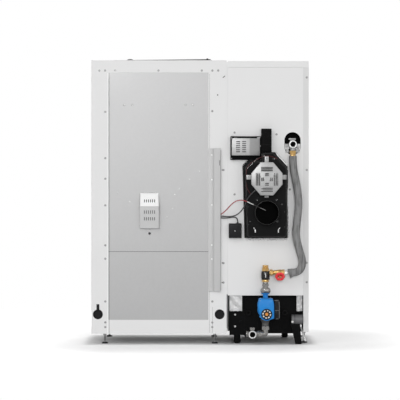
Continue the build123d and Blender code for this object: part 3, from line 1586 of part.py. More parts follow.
# A point on the line that stands square on the lower left side of the motor cover.
def cover_entry(distance):
    slope = Vector(cover_top_half - cover_half_width, 0, cover_half_height - cover_side_half)
    outward = Vector(-slope.Z, 0, slope.X).normalized()
    middle = Vector(fan_x - (cover_top_half + cover_half_width) / 2, housing_y - cover_depth / 2,
                    fan_height - (cover_half_height + cover_side_half) / 2)
    point = middle + outward * distance
    return point.X, point.Y, point.Z


def fan_route():
    x0, y0, z0 = cable_exit(0)
    return [(x0, y0, z0), (143, y0, 703), (177, y0 - 8, 702), (208, y0 - 30, 714),
            (233, housing_y - 6, 742), (249, housing_y - 14, 774), (262, housing_y - 16, 806),
            cover_entry(cable_lead), cover_entry(fit_gap)]


def sensor_route():
    x0, y0, z0 = cable_exit(-10)
    x1 = sensor_left + box_gland_inset
    y1 = rear_y - box_proud / 2
    top = box_high + box_gland_height
    return [(x0, y0, z0), (136, y0 + 1, 693.5), (156, y0 + 1, 695), (177, y0 - 2, 699),
            (195, y1 - 1, 699.5), (x1, y1, top + 16.5), (x1, y1, top)]


nodes = {
    "hopper_left_side": hopper_left_side,
    "hopper_right_side": hopper_right_side,
    "hopper_top_frame": hopper_top_frame,
    "hopper_base_tray": hopper_base_tray,
    "upper_back_sheet": upper_back_sheet,
    "lower_back_sheet": lower_back_sheet,
    "cable_channel": cable_channel,
    "vent_hood": vent_hood,
    "hopper_lid": hopper_lid,
    "lid_handle": lid_handle,
    "lid_hinge": lid_hinge,
    "hopper_front_panel": hopper_front_panel,
    "pellet_hopper": pellet_hopper,
    "suction_turbine": suction_turbine,
    "turbine_impeller": turbine_impeller,
    "auger_tube": auger_tube,
    "auger_screw": auger_screw,
    "auger_motor": auger_motor,
    "boiler_rear_panel": boiler_rear_panel,
    "boiler_right_side": boiler_right_side,
    "boiler_left_side": boiler_left_side,
    "boiler_top_cover": boiler_top_cover,
    "boiler_front_panel": boiler_front_panel,
    "control_display": door_display,
    "main_switch": main_switch,
    "chamber_door": chamber_door,
    "door_latch": door_latch,
    "boiler_base": boiler_base,
    "boiler_legs": boiler_legs,
    "levelling_feet": levelling_feet,
    "ash_box": ash_box,
    "water_vessel": water_vessel,
    "vessel_insulation": vessel_insulation,
    "burner_grate": burner_grate,
    "turbulators": turbulators,
    "cleaning_crank": cleaning_crank,
    "flue_housing": flue_housing,
    "motor_cover": motor_cover,
    "fan_motor": fan_motor,
    "fan_impeller": fan_impeller,
    "flue_outlet": flue_outlet,
    "flue_probe": flue_probe,
    "control_bracket": control_bracket,
    "slotted_cover": slotted_cover,
    "black_riser": black_riser,
    "sensor_box": sensor_box,
    "flow_fitting": flow_fitting,
    "bypass_valve": bypass_valve,
    "handwheel": handwheel,
    "mixing_valve": mixing_valve,
    "pump_unions": pump_unions,
    "pump_body": pump_body,
    "pump_dial": pump_dial,
    "pump_connector": pump_connector,
    "return_tee": return_tee,
    "casing_screws": casing_screws,
    "flow_hose": lambda: cord("flow_hose", hose_route, hose_diameter),
    "probe_cable": lambda: cord("probe_cable", probe_route(), probe_cable_diameter),
    "fan_cable": lambda: cord("fan_cable", fan_route(), cable_diameter),
    "sensor_cable": lambda: cord("sensor_cable", sensor_route(), cable_diameter),
}

screwed_sheets = ("hopper_left_side", "hopper_right_side", "hopper_top_frame", "hopper_base_tray",
                  "upper_back_sheet", "lower_back_sheet", "cable_channel", "boiler_rear_panel",
                  "boiler_right_side")

os.makedirs("parts", exist_ok=True)
holes = screw_holes()
for name, make in nodes.items():
    piece = make()
    if name in screwed_sheets:
        piece = piece - holes
    export_step(piece, os.path.join("parts", name + ".step"))
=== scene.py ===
import bpy
import bmesh
import math
import random
from mathutils import Matrix, Vector


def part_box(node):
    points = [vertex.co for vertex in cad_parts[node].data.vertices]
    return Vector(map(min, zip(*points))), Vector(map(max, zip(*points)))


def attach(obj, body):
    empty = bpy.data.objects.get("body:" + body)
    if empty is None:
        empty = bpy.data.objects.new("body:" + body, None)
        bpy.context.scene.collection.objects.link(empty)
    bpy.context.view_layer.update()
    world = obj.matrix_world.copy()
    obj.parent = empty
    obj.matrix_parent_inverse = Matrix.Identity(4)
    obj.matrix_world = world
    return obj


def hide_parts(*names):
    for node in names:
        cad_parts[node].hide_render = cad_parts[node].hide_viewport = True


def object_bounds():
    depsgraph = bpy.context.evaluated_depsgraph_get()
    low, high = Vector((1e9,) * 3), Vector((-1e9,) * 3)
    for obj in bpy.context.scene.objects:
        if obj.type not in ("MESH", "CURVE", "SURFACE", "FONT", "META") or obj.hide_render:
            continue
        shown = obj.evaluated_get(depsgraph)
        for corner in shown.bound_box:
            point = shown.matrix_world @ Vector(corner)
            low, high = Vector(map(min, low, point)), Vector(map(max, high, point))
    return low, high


# Pellet boiler seen from behind: pellet store on the left, boiler with its pipework on the right.
# Lengths are millimetres, and finishPiece turns them into metres. The rear side faces -Y and +X is to the right.

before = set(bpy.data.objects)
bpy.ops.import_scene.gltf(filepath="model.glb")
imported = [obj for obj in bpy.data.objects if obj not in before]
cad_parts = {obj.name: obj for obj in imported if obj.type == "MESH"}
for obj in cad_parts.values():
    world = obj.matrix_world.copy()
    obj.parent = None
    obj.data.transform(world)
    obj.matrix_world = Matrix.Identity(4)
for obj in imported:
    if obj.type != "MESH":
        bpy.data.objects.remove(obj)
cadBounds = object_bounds()
print("frame loaded:", len(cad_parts), "nodes")

scene = bpy.context.scene
rearward, forward, upward, downward, rightward, leftward = (
    (0, -1, 0), (0, 1, 0), (0, 0, 1), (0, 0, -1), (1, 0, 0), (-1, 0, 0))


def box(node):
    return [corner * 1000 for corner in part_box(node)]


def middleOf(node):
    low, high = box(node)
    return (low + high) / 2


rearY = box("hopper_left_side")[0].y
pipeY = rearY - 55
fanX, _, fanZ = middleOf("fan_motor")
pumpX = middleOf("mixing_valve").x


# Camera and studio

camera = {"distance": 10.0, "height": 0.793, "metresAcross": 2.2, "sensor": 36.0, "clip": 60.0}


def placeCamera():
    data = bpy.data.cameras.new("rearCamera")
    data.sensor_width = camera["sensor"]
    data.lens = camera["sensor"] * camera["distance"] / camera["metresAcross"]
    data.clip_end = camera["clip"]
    seat = bpy.data.objects.new("rearCamera", data)
    seat.location = (0, rearY * 0.001 - camera["distance"], camera["height"])
    seat.rotation_euler = (math.pi / 2, 0, 0)
    scene.collection.objects.link(seat)
    scene.camera = seat


placeCamera()


# Shader helpers: a socket is linked, and a number or colour is set on the socket itself

def shaderNode(tree, kind, sockets=None, **settings):
    node = tree.nodes.new("ShaderNode" + kind)
    for key, value in settings.items():
        setattr(node, key, value)
    for key, value in (sockets or {}).items():
        if isinstance(value, bpy.types.NodeSocket):
            tree.links.new(value, node.inputs[key])
        else:
            node.inputs[key].default_value = value
    return node


def maths(tree, operation, first, second=0.0, clamp=False):
    return shaderNode(tree, "Math", {0: first, 1: second}, operation=operation, use_clamp=clamp).outputs[0]


def surfacePlace(tree, across=1, along=1):
    coords = shaderNode(tree, "TexCoord").outputs["Object"]
    return shaderNode(tree, "Mapping", {"Vector": coords, "Scale": (across, across, along)}).outputs[0]


def noise(tree, place, scale, detail, roughness=0.5):
    return shaderNode(tree, "TexNoise", {"Vector": place, "Scale": scale, "Detail": detail, "Roughness": roughness})


def cells(tree, place, scale, feature="F1"):
    return shaderNode(tree, "TexVoronoi", {"Vector": place, "Scale": scale}, feature=feature)


def greyOf(tree, node):
    return shaderNode(tree, "RGBToBW", {"Color": node.outputs["Color"]}).outputs[0]


def blend(tree, share, first, second):
    return shaderNode(tree, "MixRGB", {"Fac": share, "Color1": first, "Color2": second}).outputs[0]


# Surface effects: each one returns the outputs of its node group

def powderGrain(tree, given):
    place = surfacePlace(tree)
    return {"Height": noise(tree, place, given["Grain"], 2).outputs["Fac"],
            "Tone": noise(tree, place, given["Cloud"], 3).outputs["Fac"]}


def rolledGrain(tree, given):
    place = surfacePlace(tree)
    return {"Height": noise(tree, surfacePlace(tree, 1, 0.03), given["Streak"], 4).outputs["Fac"],
            "Tone": noise(tree, place, 3, 2).outputs["Fac"],
            "Fleck": greyOf(tree, cells(tree, place, given["Spangle"]))}


def castSkin(tree, given):
    place = surfacePlace(tree)
    pits = cells(tree, place, given["Pit"], "SMOOTH_F1").outputs["Distance"]
    lumps = noise(tree, place, 90, 5, 0.6).outputs["Fac"]
    return {"Height": maths(tree, "ADD", pits, lumps), "Tone": lumps}


def crumple(tree, given):
    place = surfacePlace(tree)
    warp = noise(tree, place, 20, 3).outputs["Color"]
    bent = shaderNode(tree, "VectorMath", {0: warp, "Scale": 0.05}, operation="SCALE").outputs[0]
    moved = shaderNode(tree, "VectorMath", {0: place, 1: bent}, operation="ADD").outputs[0]
    facets = cells(tree, moved, given["Facet"])
    return {"Height": facets.outputs["Distance"], "Tone": greyOf(tree, facets)}


# Foam sleeve: long ribs pressed into it lengthwise, cut by slanting creases
def foamRibs(tree, given):
    ribs = noise(tree, surfacePlace(tree, 1, 0.1), given["Rib"], 3, 0.55).outputs["Fac"]
    creases = noise(tree, surfacePlace(tree, 0.6, 1), 34, 4, 0.6).outputs["Fac"]
    both = maths(tree, "ADD", ribs, maths(tree, "MULTIPLY", creases, given["Crease"]))
    pores = cells(tree, surfacePlace(tree), 620).outputs["Distance"]
    tone = shaderNode(tree, "MapRange", {"Value": both, "From Min": 0.38, "From Max": 0.66}).outputs[0]
    return {"Height": maths(tree, "ADD", both, maths(tree, "MULTIPLY", pores, 0.16)), "Tone": tone}


# Dust that settles on what faces up, and thins out towards the sides
def settledDust(tree, given):
    normal = shaderNode(tree, "NewGeometry").outputs["Normal"]
    height = shaderNode(tree, "SeparateXYZ", {"Vector": normal}).outputs["Z"]
    up = shaderNode(tree, "MapRange", {"Value": height, "From Min": 0.2}).outputs[0]
    patchy = maths(tree, "MULTIPLY", up, noise(tree, surfacePlace(tree), 38, 6).outputs["Fac"])
    return {"Mask": maths(tree, "MULTIPLY", patchy, given["Amount"], True)}


# Worn edges, painted lighter as a highlight as well: where a rounded normal leaves the flat one
def rubbedEdgeAndHighlight(tree, given):
    rounded = shaderNode(tree, "Bevel", {"Radius": given["Width"]}, samples=4).outputs[0]
    flat = shaderNode(tree, "NewGeometry").outputs["Normal"]
    likeness = shaderNode(tree, "VectorMath", {0: rounded, 1: flat}, operation="DOT_PRODUCT").outputs["Value"]
    strong = maths(tree, "MULTIPLY", maths(tree, "SUBTRACT", 1.0, likeness), given["Gain"])
    chips = noise(tree, surfacePlace(tree), 170, 4).outputs["Fac"]
    return {"Mask": maths(tree, "MULTIPLY", strong, chips, True)}


def makeEffect(build, inputs):
    group = bpy.data.node_groups.new(build.__name__, "ShaderNodeTree")
    for label, value in inputs.items():
        socket = group.interface.new_socket(name=label, in_out="INPUT", socket_type="NodeSocketFloat")
        socket.default_value = value
    made = build(group, group.nodes.new("NodeGroupInput").outputs)
    for label in made:
        group.interface.new_socket(name=label, in_out="OUTPUT", socket_type="NodeSocketFloat")
    leave = group.nodes.new("NodeGroupOutput")
    for label, socket in made.items():
        group.links.new(socket, leave.inputs[label])
    return group


effects = {build.__name__: makeEffect(build, inputs) for build, inputs in (
    (powderGrain, {"Grain": 650.0, "Cloud": 5.0}), (rolledGrain, {"Streak": 140.0, "Spangle": 60.0}),
    (castSkin, {"Pit": 260.0}), (crumple, {"Facet": 55.0}), (foamRibs, {"Rib": 75.0, "Crease": 0.12}),
    (settledDust, {"Amount": 0.3}), (rubbedEdgeAndHighlight, {"Width": 0.0012, "Gain": 6.0}))}
print("effects:", ", ".join(effects))


# Finishes: grey level or colour, share of it in the darker places, roughness, bump, effect with its values, and
# what else the finish has: metal, coat, specular, fleck, colour of the worn edges with their painted highlight,
# amount and colour of the dust

finishes = {
    "whiteCasing": (0.785, 0.96, 0.5, 0.05, "powderGrain", (700, 4), {"dust": (0.1, 0.55, 0.53, 0.5)}),
    "wingCoat": (0.6, 0.95, 0.52, 0.05, "powderGrain", (700, 6), {}),
    "slotShade": (0.16, 0.8, 0.6, 0.03, "powderGrain", (600, 30), {}),
    "greyCasing": (0.705, 0.95, 0.52, 0.05, "powderGrain", (700, 4), {"dust": (0.1, 0.5, 0.48, 0.46)}),
    "channelCoat": (0.555, 0.93, 0.5, 0.05, "powderGrain", (700, 6), {"dust": (0.1, 0.5, 0.48, 0.46)}),
    "galvanised": ((0.475, 0.475, 0.477), 0.95, 0.42, 0.05, "rolledGrain", (150, 90),
                   {"metal": 0.55, "fleck": 0.014, "dust": (0.1, 0.5, 0.48, 0.45)}),
    "galvanisedLower": ((0.472, 0.472, 0.474), 0.94, 0.42, 0.05, "rolledGrain", (150, 90),
                        {"metal": 0.55, "fleck": 0.014, "dust": (0.1, 0.5, 0.48, 0.45)}),
    # Dark plated metal, and painted shade as well: the shadow rings of the rivets, the slope of the slotted cover
    # turned from the light, the shadow line beside the cable channel and the shadow of the torn foil
    "darkPlateAndPaintedShade": (0.37, 0.88, 0.45, 0.05, "rolledGrain", (260, 170), {"metal": 0.5, "fleck": 0.02}),
    # Light and shaded copies of the hood's sheet: the first paints the hood's upward faces and the sheet folds light
    # as a highlight, and is also the white of the cable channel's screw heads; the second is the hood painted darker
    # as shade
    "whiteAndPaintedHighlight": (0.97, 0.97, 0.36, 0.03, "powderGrain", (900, 9), {}),
    "hoodShadedFace": (0.6, 0.95, 0.42, 0.04, "powderGrain", (900, 9), {}),
    "platedSheet": (0.44, 0.9, 0.42, 0.05, "rolledGrain", (260, 170), {"metal": 0.6, "fleck": 0.03}),
    "blackSheet": ((0.0056, 0.0056, 0.0058), 0.5, 0.48, 0.09, "powderGrain", (420, 16),
                   {"specular": 0.1, "dust": (0.2, 0.1, 0.097, 0.094), "edge": (0.11, 0.11, 0.112)}),
    "blackMatt": ((0.006, 0.006, 0.0062), 0.6, 0.55, 0.09, "powderGrain", (420, 16),
                  {"specular": 0.05, "dust": (0.12, 0.06, 0.058, 0.056), "edge": (0.05, 0.05, 0.05)}),
    "blackMoulding": ((0.01, 0.01, 0.011), 0.7, 0.42, 0.05, "powderGrain", (900, 20),
                      {"specular": 0.2, "dust": (0.2, 0.13, 0.13, 0.125), "edge": (0.06, 0.06, 0.06)}),
    "darkSteel": ((0.075, 0.075, 0.08), 0.7, 0.5, 0.1, "castSkin", (320,),
                  {"metal": 0.4, "dust": (0.25, 0.2, 0.19, 0.18)}),
    "castIron": (0.05, 0.6, 0.62, 0.22, "castSkin", (230,),
                 {"metal": 0.3, "specular": 0.2, "dust": (0.3, 0.22, 0.2, 0.19)}),
    "turnedSteel": (0.55, 0.85, 0.32, 0.04, "rolledGrain", (500, 400), {"metal": 1.0, "fleck": 0.03}),
    "platedFitting": ((0.46, 0.45, 0.435), 0.56, 0.24, 0.07, "castSkin", (420,),
                      {"metal": 0.85, "edge": (0.8, 0.8, 0.79)}),
    "brightFitting": (0.9, 0.92, 0.26, 0.03, "castSkin", (500,), {"metal": 0.45}),
    "brass": ((0.78, 0.5, 0.19), 0.84, 0.28, 0.05, "castSkin", (460,), {"metal": 0.9, "edge": (0.92, 0.74, 0.4)}),
    "redEnamel": ((0.86, 0.035, 0.045), 0.86, 0.28, 0.04, "castSkin", (350,), {"coat": 0.4}),
    "bluePaint": ((0.004, 0.235, 0.68), 0.84, 0.36, 0.12, "castSkin", (280,),
                  {"specular": 0.35, "coat": 0.25, "dust": (0.15, 0.2, 0.3, 0.42)}),
    "dialBlack": (0.008, 0.8, 0.38, 0.04, "powderGrain", (1100, 40), {"specular": 0.2}),
    "dialWhite": ((0.75, 0.75, 0.73), 0.93, 0.45, 0.03, "powderGrain", (1300, 50), {}),
    "amberCap": ((0.75, 0.3, 0.06), 0.85, 0.3, 0.03, "powderGrain", (900, 60), {"metal": 0.3}),
    "plugGrey": (0.2, 0.85, 0.45, 0.05, "powderGrain", (900, 30), {}),
    "foil": (0.72, 0.74, 0.36, 0.45, "crumple", (60,), {"metal": 0.5}),
    "tornFoil": (0.95, 0.78, 0.3, 0.5, "crumple", (140,), {"metal": 0.1}),
    "castGrey": ((0.125, 0.123, 0.12), 0.7, 0.42, 0.12, "castSkin", (320,),
                 {"metal": 0.6, "edge": (0.5, 0.49, 0.47)}),
    # grey of the flue's rolled rim, the same all round
    "flueRimGrey": ((0.15, 0.148, 0.145), 0.55, 0.42, 0.07, "castSkin", (420,), {"metal": 0.5}),
    "wireRed": ((0.13, 0.012, 0.014), 0.8, 0.45, 0.04, "powderGrain", (1500, 60), {}),
    "hoseFoam": (0.25, 0.36, 0.72, 0.9, "foamRibs", (100, 0.22), {"specular": 0.3, "dust": (0.3, 0.3, 0.3, 0.3)}),
    "hoseInside": (0.09, 0.7, 0.8, 0.3, "castSkin", (300,), {}),
    "redSilicone": ((0.38, 0.035, 0.04), 0.85, 0.42, 0.04, "powderGrain", (1500, 60), {}),
    "whiteSheath": ((0.78, 0.78, 0.76), 0.9, 0.4, 0.04, "powderGrain", (1300, 60), {}),
    "blackCable": (0.045, 0.8, 0.3, 0.05, "powderGrain", (1400, 70), {"dust": (0.25, 0.1, 0.1, 0.1)}),
    "zincScrew": (0.38, 0.85, 0.34, 0.04, "castSkin", (900,), {"metal": 0.85}),
    # Black of rubber, linings and joints, and painted shade standing in for the dark inside of holes, slots and bores
    "darkHole": (0.006, 0.8, 0.85, 0.02, "powderGrain", (600, 30), {"specular": 0.0}),
    "glossBlack": (0.005, 0.8, 0.2, 0.015, "powderGrain", (500, 30), {"specular": 0.3, "coat": 0.6}),
    "greyPaint": ((0.16, 0.16, 0.165), 0.8, 0.38, 0.05, "castSkin", (420,), {"metal": 0.3}),
    "displayGlass": ((0.01, 0.011, 0.014), 0.85, 0.09, 0.006, "powderGrain", (200, 12), {"coat": 1.0}),
}
roughSpread = 0.14


def makeFinish(name, colour, shade, rough, bump, effectName, values, more):
    material = bpy.data.materials.new(name)
    material.use_nodes = True
    tree = material.node_tree
    shader = tree.nodes["Principled BSDF"]

    def effectNode(kind, *numbers):
        node = shaderNode(tree, "Group", node_tree=effects[kind])
        for socket, number in zip(node.inputs, numbers):
            socket.default_value = number
        return node.outputs

    colour = colour if isinstance(colour, tuple) else (colour,) * 3
    effect = effectNode(effectName, *values)
    base = blend(tree, effect["Tone"], (*(part * shade for part in colour), 1), (*colour, 1))
    if "fleck" in more:
        fleck = more["fleck"]
        bright = tuple(min(1, part + 4 * fleck) for part in colour)
        base = blend(tree, maths(tree, "MULTIPLY", effect["Fleck"], 12 * fleck), base, (*bright, 1))
    if "edge" in more:
        base = blend(tree, effectNode("rubbedEdgeAndHighlight")["Mask"], base, (*more["edge"], 1))
    if "dust" in more:
        amount, *dustColour = more["dust"]
        base = blend(tree, effectNode("settledDust", amount)["Mask"], base, (*dustColour, 1))
    roughness = shaderNode(tree, "MapRange", {"Value": effect["Tone"], "To Min": rough * (1 - roughSpread),
                                              "To Max": min(1, rough * (1 + roughSpread))}).outputs[0]
    raised = shaderNode(tree, "Bump", {"Height": effect["Height"], "Strength": bump, "Distance": 0.001}).outputs[0]
    for socket, source in (("Base Color", base), ("Roughness", roughness), ("Normal", raised)):
        tree.links.new(source, shader.inputs[socket])
    for socket, number in (("Metallic", more.get("metal", 0.0)), ("Coat Weight", more.get("coat", 0.0)),
                           ("Specular IOR Level", more.get("specular", 0.5)), ("Coat Roughness", 0.12)):
        shader.inputs[socket].default_value = number
    material.diffuse_color = (*colour, 1)
    return material


materials = {name: makeFinish(name, *facts) for name, facts in finishes.items()}
print("finishes:", len(materials))


def coat(node, finish):
    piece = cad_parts[node]
    piece.data.materials.clear()
    piece.data.materials.append(materials[finish])


# Hose and cables: one open NURBS line each, along the route they hang in

hose = {"diameter": 42, "wall": 9, "length": 672, "lay": "hanging", "stiffness": "medium", "route": [
    (509, -299, 1033), (509, -299, 976), (529, -307, 882), (543, -313, 776), (530, -317, 669), (524, -321, 590),
    (546, -324, 508), (560, -324, 466), (557, -324, 424), (535, -324, 398), (509, -324, 396)]}
probeLead = {"diameter": 5, "length": 199, "lay": "loose", "stiffness": "medium", "route": [
    (113.3, -280, 713), (138, -280, 729), (164, -306, 762), (196, -338, 789), (233.93, -361, 794.32),
    (257.49, -361, 783.33)]}
fanLead = {"diameter": 6, "length": 285, "lay": "loose", "stiffness": "medium", "route": [
    (113.3, -280, 705), (143, -280, 703), (177, -288, 702), (208, -310, 714), (233, -345, 742),
    (249, -353, 774), (262, -355, 806), (286.39, -364, 832.55), (304.52, -364, 847.81)]}
sensorLead = {"diameter": 6, "length": 115, "lay": "loose", "stiffness": "limp", "route": [
    (113.3, -280, 695), (136, -279, 693.5), (156, -279, 695), (177, -282, 699), (195, -287, 699.5),
    (207, -286, 687.5), (207, -286, 671)]}


def layCord(name, facts, finish, node):
    curve = bpy.data.curves.new(name, "CURVE")
    curve.dimensions = "3D"
    route = [Vector(place) * 0.001 for place in facts["route"]]
    spline = curve.splines.new("NURBS")
    spline.points.add(len(route) - 1)
    for point, place in zip(spline.points, route):
        point.co = (*place, 1)
    spline.order_u = 3
    spline.use_endpoint_u = True
    spline.resolution_u = 16
    curve.bevel_depth = facts["diameter"] * 0.0005
    curve.bevel_resolution = 8
    curve.use_fill_caps = True
    curve.materials.append(materials[finish])
    line = bpy.data.objects.new(name, curve)
    scene.collection.objects.link(line)
    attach(line, "casing")
    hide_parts(node)


layCord("flowHose", hose, "hoseFoam", "flow_hose")
layCord("probeCable", probeLead, "redSilicone", "probe_cable")
layCord("fanCable", fanLead, "blackCable", "fan_cable")
layCord("sensorCable", sensorLead, "blackCable", "sensor_cable")
print("hose and cables routed")


# Shapes that several pieces are made of

def turnTo(direction):
    return Vector(direction).to_track_quat("Z", "Y").to_matrix().to_4x4()


def circle(steps):
    return [2 * math.pi * step / steps for step in range(steps)]


def newRing(bm, points):
    return [bm.verts.new(point) for point in points]


def roundEdges(bm, edges, offset, segments):
    bmesh.ops.bevel(bm, geom=edges, offset=offset, segments=segments, profile=0.5, affect="EDGES", clamp_overlap=True)


def slab(bm, low, high, bevel=0.0, segments=2):
    low, high = Vector(low), Vector(high)
    made = bmesh.ops.create_cube(bm, size=1.0)["verts"]
    for vert in made:
        vert.co = Vector((low[i] + high[i]) / 2 + vert.co[i] * (high[i] - low[i]) for i in range(3))
    if bevel:
        roundEdges(bm, list({edge for vert in made for edge in vert.link_edges}), bevel, segments)


# One flat face with its corners at the heights and sides given, set at the depth that depthAt gives for a height
def flatFace(bm, left, right, foot, top, depthAt):
    corners = ((left, foot), (right, foot), (right, top), (left, top))
    bm.faces.new(newRing(bm, [(x, depthAt(z), z) for x, z in corners]))


# Outline of a slot with round ends, along the first axis
def slotOutline(length, width, steps):
    radius = width / 2
    return [(math.copysign(length / 2 - radius, math.cos(turn)) + radius * math.cos(turn), radius * math.sin(turn))
            for turn in circle(steps)]


# Sheet of faces between rows of points
def joinRows(bm, rows):
    return [[bm.faces.new((first[k], first[k + 1], second[k + 1], second[k])) for k in range(len(first) - 1)]
            for first, second in zip(rows, rows[1:])]


def joinRings(bm, rings, steps):
    for first, second in zip(rings, rings[1:]):
        for step in range(steps):
            after = (step + 1) % steps
            if len(first) == 1 and len(second) == 1:
                break
            if len(first) == 1:
                bm.faces.new((first[0], second[after], second[step]))
            elif len(second) == 1:
                bm.faces.new((first[step], first[after], second[0]))
            else:
                bm.faces.new((first[step], first[after], second[after], second[step]))


# Turned form: profile of (radius, distance along the axis), closed at both ends by a radius of 0
def turned(bm, profile, start, direction=rearward, steps=40, radiusAt=None):
    place = Matrix.Translation(Vector(start)) @ turnTo(direction)
    rings = []
    for radius, along in profile:
        if radius == 0:
            rings.append([bm.verts.new(place @ Vector((0, 0, along)))])
            continue
        reaches = [(turn, radiusAt(radius, turn) if radiusAt else radius) for turn in circle(steps)]
        rings.append(newRing(bm, [place @ Vector((reach * math.cos(turn), reach * math.sin(turn), along))
                                  for turn, reach in reaches]))
    joinRings(bm, rings, steps)


# Hexagon nut with both faces chamfered and an open or closed bore
def hexNut(bm, start, end, acrossFlats, chamfer=0.5, bore=0):
    start, end = Vector(start), Vector(end)
    length = (end - start).length
    place = Matrix.Translation(start) @ turnTo(end - start)
    inner = acrossFlats / 2 * 0.97
    steps = 48

    def ring(radius, along, drop=0.0):
        made = []
        for turn in circle(steps):
            reach, height = radius, along
            if radius is None:
                reach = acrossFlats / 2 / math.cos((turn + math.pi / 6) % (math.pi / 3) - math.pi / 6)
                height = along + drop * (reach - inner) * chamfer
            made.append(bm.verts.new(place @ Vector((reach * math.cos(turn), reach * math.sin(turn), height))))
        return made

    def closed(along):
        return ring(bore, along) if bore else [bm.verts.new(place @ Vector((0, 0, along)))]

    rings = [closed(0), ring(inner, 0), ring(None, 0, 1), ring(None, length, -1), ring(inner, length), closed(length)]
    joinRings(bm, rings + [rings[0]] if bore else rings, steps)


# Round tube along points, its corners rounded as elbows
def bentTube(bm, points, radius, elbow, steps=20):
    points = [Vector(point) for point in points]
    path = [points[0]]
    for before, here, after in zip(points, points[1:], points[2:]):
        inward = (before - here).normalized()
        outward = (after - here).normalized()
        reach = min(elbow, (before - here).length * 0.5, (after - here).length * 0.5)
        for step in range(9):
            t = step / 8
            path.append(here + inward * reach * (1 - t) ** 2 + outward * reach * t ** 2)
    sweptRings(bm, path + [points[-1]], radius, steps)


def sweptRings(bm, path, radius, steps):
    rings = []
    side = None
    for i, here in enumerate(path):
        ahead = (path[min(i + 1, len(path) - 1)] - path[max(i - 1, 0)]).normalized()
        side = side or ahead.orthogonal().normalized()
        side = (side - ahead * side.dot(ahead)).normalized()
        other = ahead.cross(side)
        rings.append(newRing(bm, [here + side * (radius * math.cos(turn)) + other * (radius * math.sin(turn))
                                  for turn in circle(steps)]))
    joinRings(bm, rings, steps)
    bm.faces.new(list(reversed(rings[0])))
    bm.faces.new(rings[-1])


# Pressed louvre: a blister that is open along one long side, on a face that looks to -Y
def louvre(bm, middle, width, height, proud, opens):
    along, across = (Vector(rightward), Vector(upward)) if width > height else (Vector(upward), Vector(rightward))
    half, deep = max(width, height) / 2, min(width, height) / 2
    steps, arc = 10, 5
    rows = []
    for i in range(steps + 1):
        t = -1 + 2 * i / steps
        lift = (1 - abs(t) ** 6) * proud
        rows.append(newRing(bm, [middle + along * (half * t) + across * (opens * deep * (2 * k / arc - 1))
                                 + Vector((0, -lift * math.sin(k / arc * math.pi / 2), 0)) for k in range(arc + 1)]))
    joinRows(bm, rows)


# Screw head with a cross in it
def crossHead(bm, place, radius, height, steps=20):
    turned(bm, [(0, 0), (radius * 0.22, 0), (radius * 0.3, height * 0.86), (radius * 0.62, height * 0.8),
                (radius * 0.93, height * 0.5), (radius, height * 0.05), (radius * 0.9, 0)], place, rearward, steps,
           lambda reach, turn: reach * (1 + (0.5 * math.cos(4 * turn) if reach < radius * 0.35 else 0)))


def finishPiece(name, bm, finish, body="casing", stands=None, smooth=35):
    bmesh.ops.recalc_face_normals(bm, faces=bm.faces)
    bmesh.ops.scale(bm, vec=(0.001, 0.001, 0.001), verts=bm.verts)
    mesh = bpy.data.meshes.new(name)
    bm.to_mesh(mesh)
    bm.free()
    for face in mesh.polygons:
        face.use_smooth = True
    mesh.set_sharp_from_angle(angle=math.radians(smooth))
    for part in ([finish] if isinstance(finish, str) else finish):
        mesh.materials.append(materials[part])
    piece = bpy.data.objects.new(name, mesh)
    scene.collection.objects.link(piece)
    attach(piece, body)
    if stands:
        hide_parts(stands)


# The faces made since the last call take the piece's finish with this number
def paint(bm, index):
    painted = bm.faces.layers.int.get("painted") or bm.faces.layers.int.new("painted")
    for face in bm.faces:
        if not face[painted]:
            face[painted] = 1
            face.material_index = index


# Box of each separate solid in a node
def islandBoxes(node):
    bm = bmesh.new()
    bm.from_mesh(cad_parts[node].data)
    bmesh.ops.remove_doubles(bm, verts=bm.verts, dist=1e-6)
    left = set(bm.verts)
    boxes = []
    while left:
        stack = [left.pop()]
        low, high = stack[0].co.copy(), stack[0].co.copy()
        while stack:
            vert = stack.pop()
            for i in range(3):
                low[i] = min(low[i], vert.co[i])
                high[i] = max(high[i], vert.co[i])
            near = {edge.other_vert(vert) for edge in vert.link_edges} & left
            left -= near
            stack.extend(near)
        boxes.append((low * 1000, high * 1000))
    bm.free()
    return boxes


# CAD pieces whose shape is right keep it and take a finish

carried = {
    "whiteCasing": ("hopper_left_side", "hopper_right_side", "hopper_top_frame", "hopper_base_tray", "hopper_lid",
                    "hopper_front_panel", "boiler_rear_panel", "boiler_top_cover", "boiler_front_panel",
                    "chamber_door"),
    "greyCasing": ("boiler_right_side", "boiler_left_side", "ash_box"),
    "galvanised": ("upper_back_sheet", "pellet_hopper", "auger_tube"),
    "galvanisedLower": ("lower_back_sheet",),
    "darkSteel": ("auger_motor", "water_vessel"),
    "castIron": ("burner_grate",),
    "turnedSteel": ("auger_screw", "turbine_impeller", "fan_impeller", "turbulators", "cleaning_crank"),
    "blackMoulding": ("suction_turbine",),
    "blackSheet": ("flue_housing",),
    "blackMatt": ("boiler_base", "boiler_legs"),
    "foil": ("vessel_insulation",),
}
for finish, nodes in carried.items():
    for node in nodes:
        coat(node, finish)
print("carried pieces finished")


# Screws: one cross-headed screw on each place that the CAD screws take

screw = {"headRadius": 4.6, "headHeight": 2.4, "washer": 6.2, "washerHeight": 0.6}


def makeScrews():
    bm = bmesh.new()
    washer, tall = screw["washer"], screw["washerHeight"]
    for low, high in islandBoxes("casing_screws"):
        seat = Vector(((low.x + high.x) / 2, rearY, (low.z + high.z) / 2))
        crossHead(bm, seat, screw["headRadius"], screw["headHeight"])
        turned(bm, [(0, 0.1), (washer, 0.1), (washer, tall), (0, tall)], seat, steps=24)
    finishPiece("casingScrews", bm, "zincScrew", stands="casing_screws")
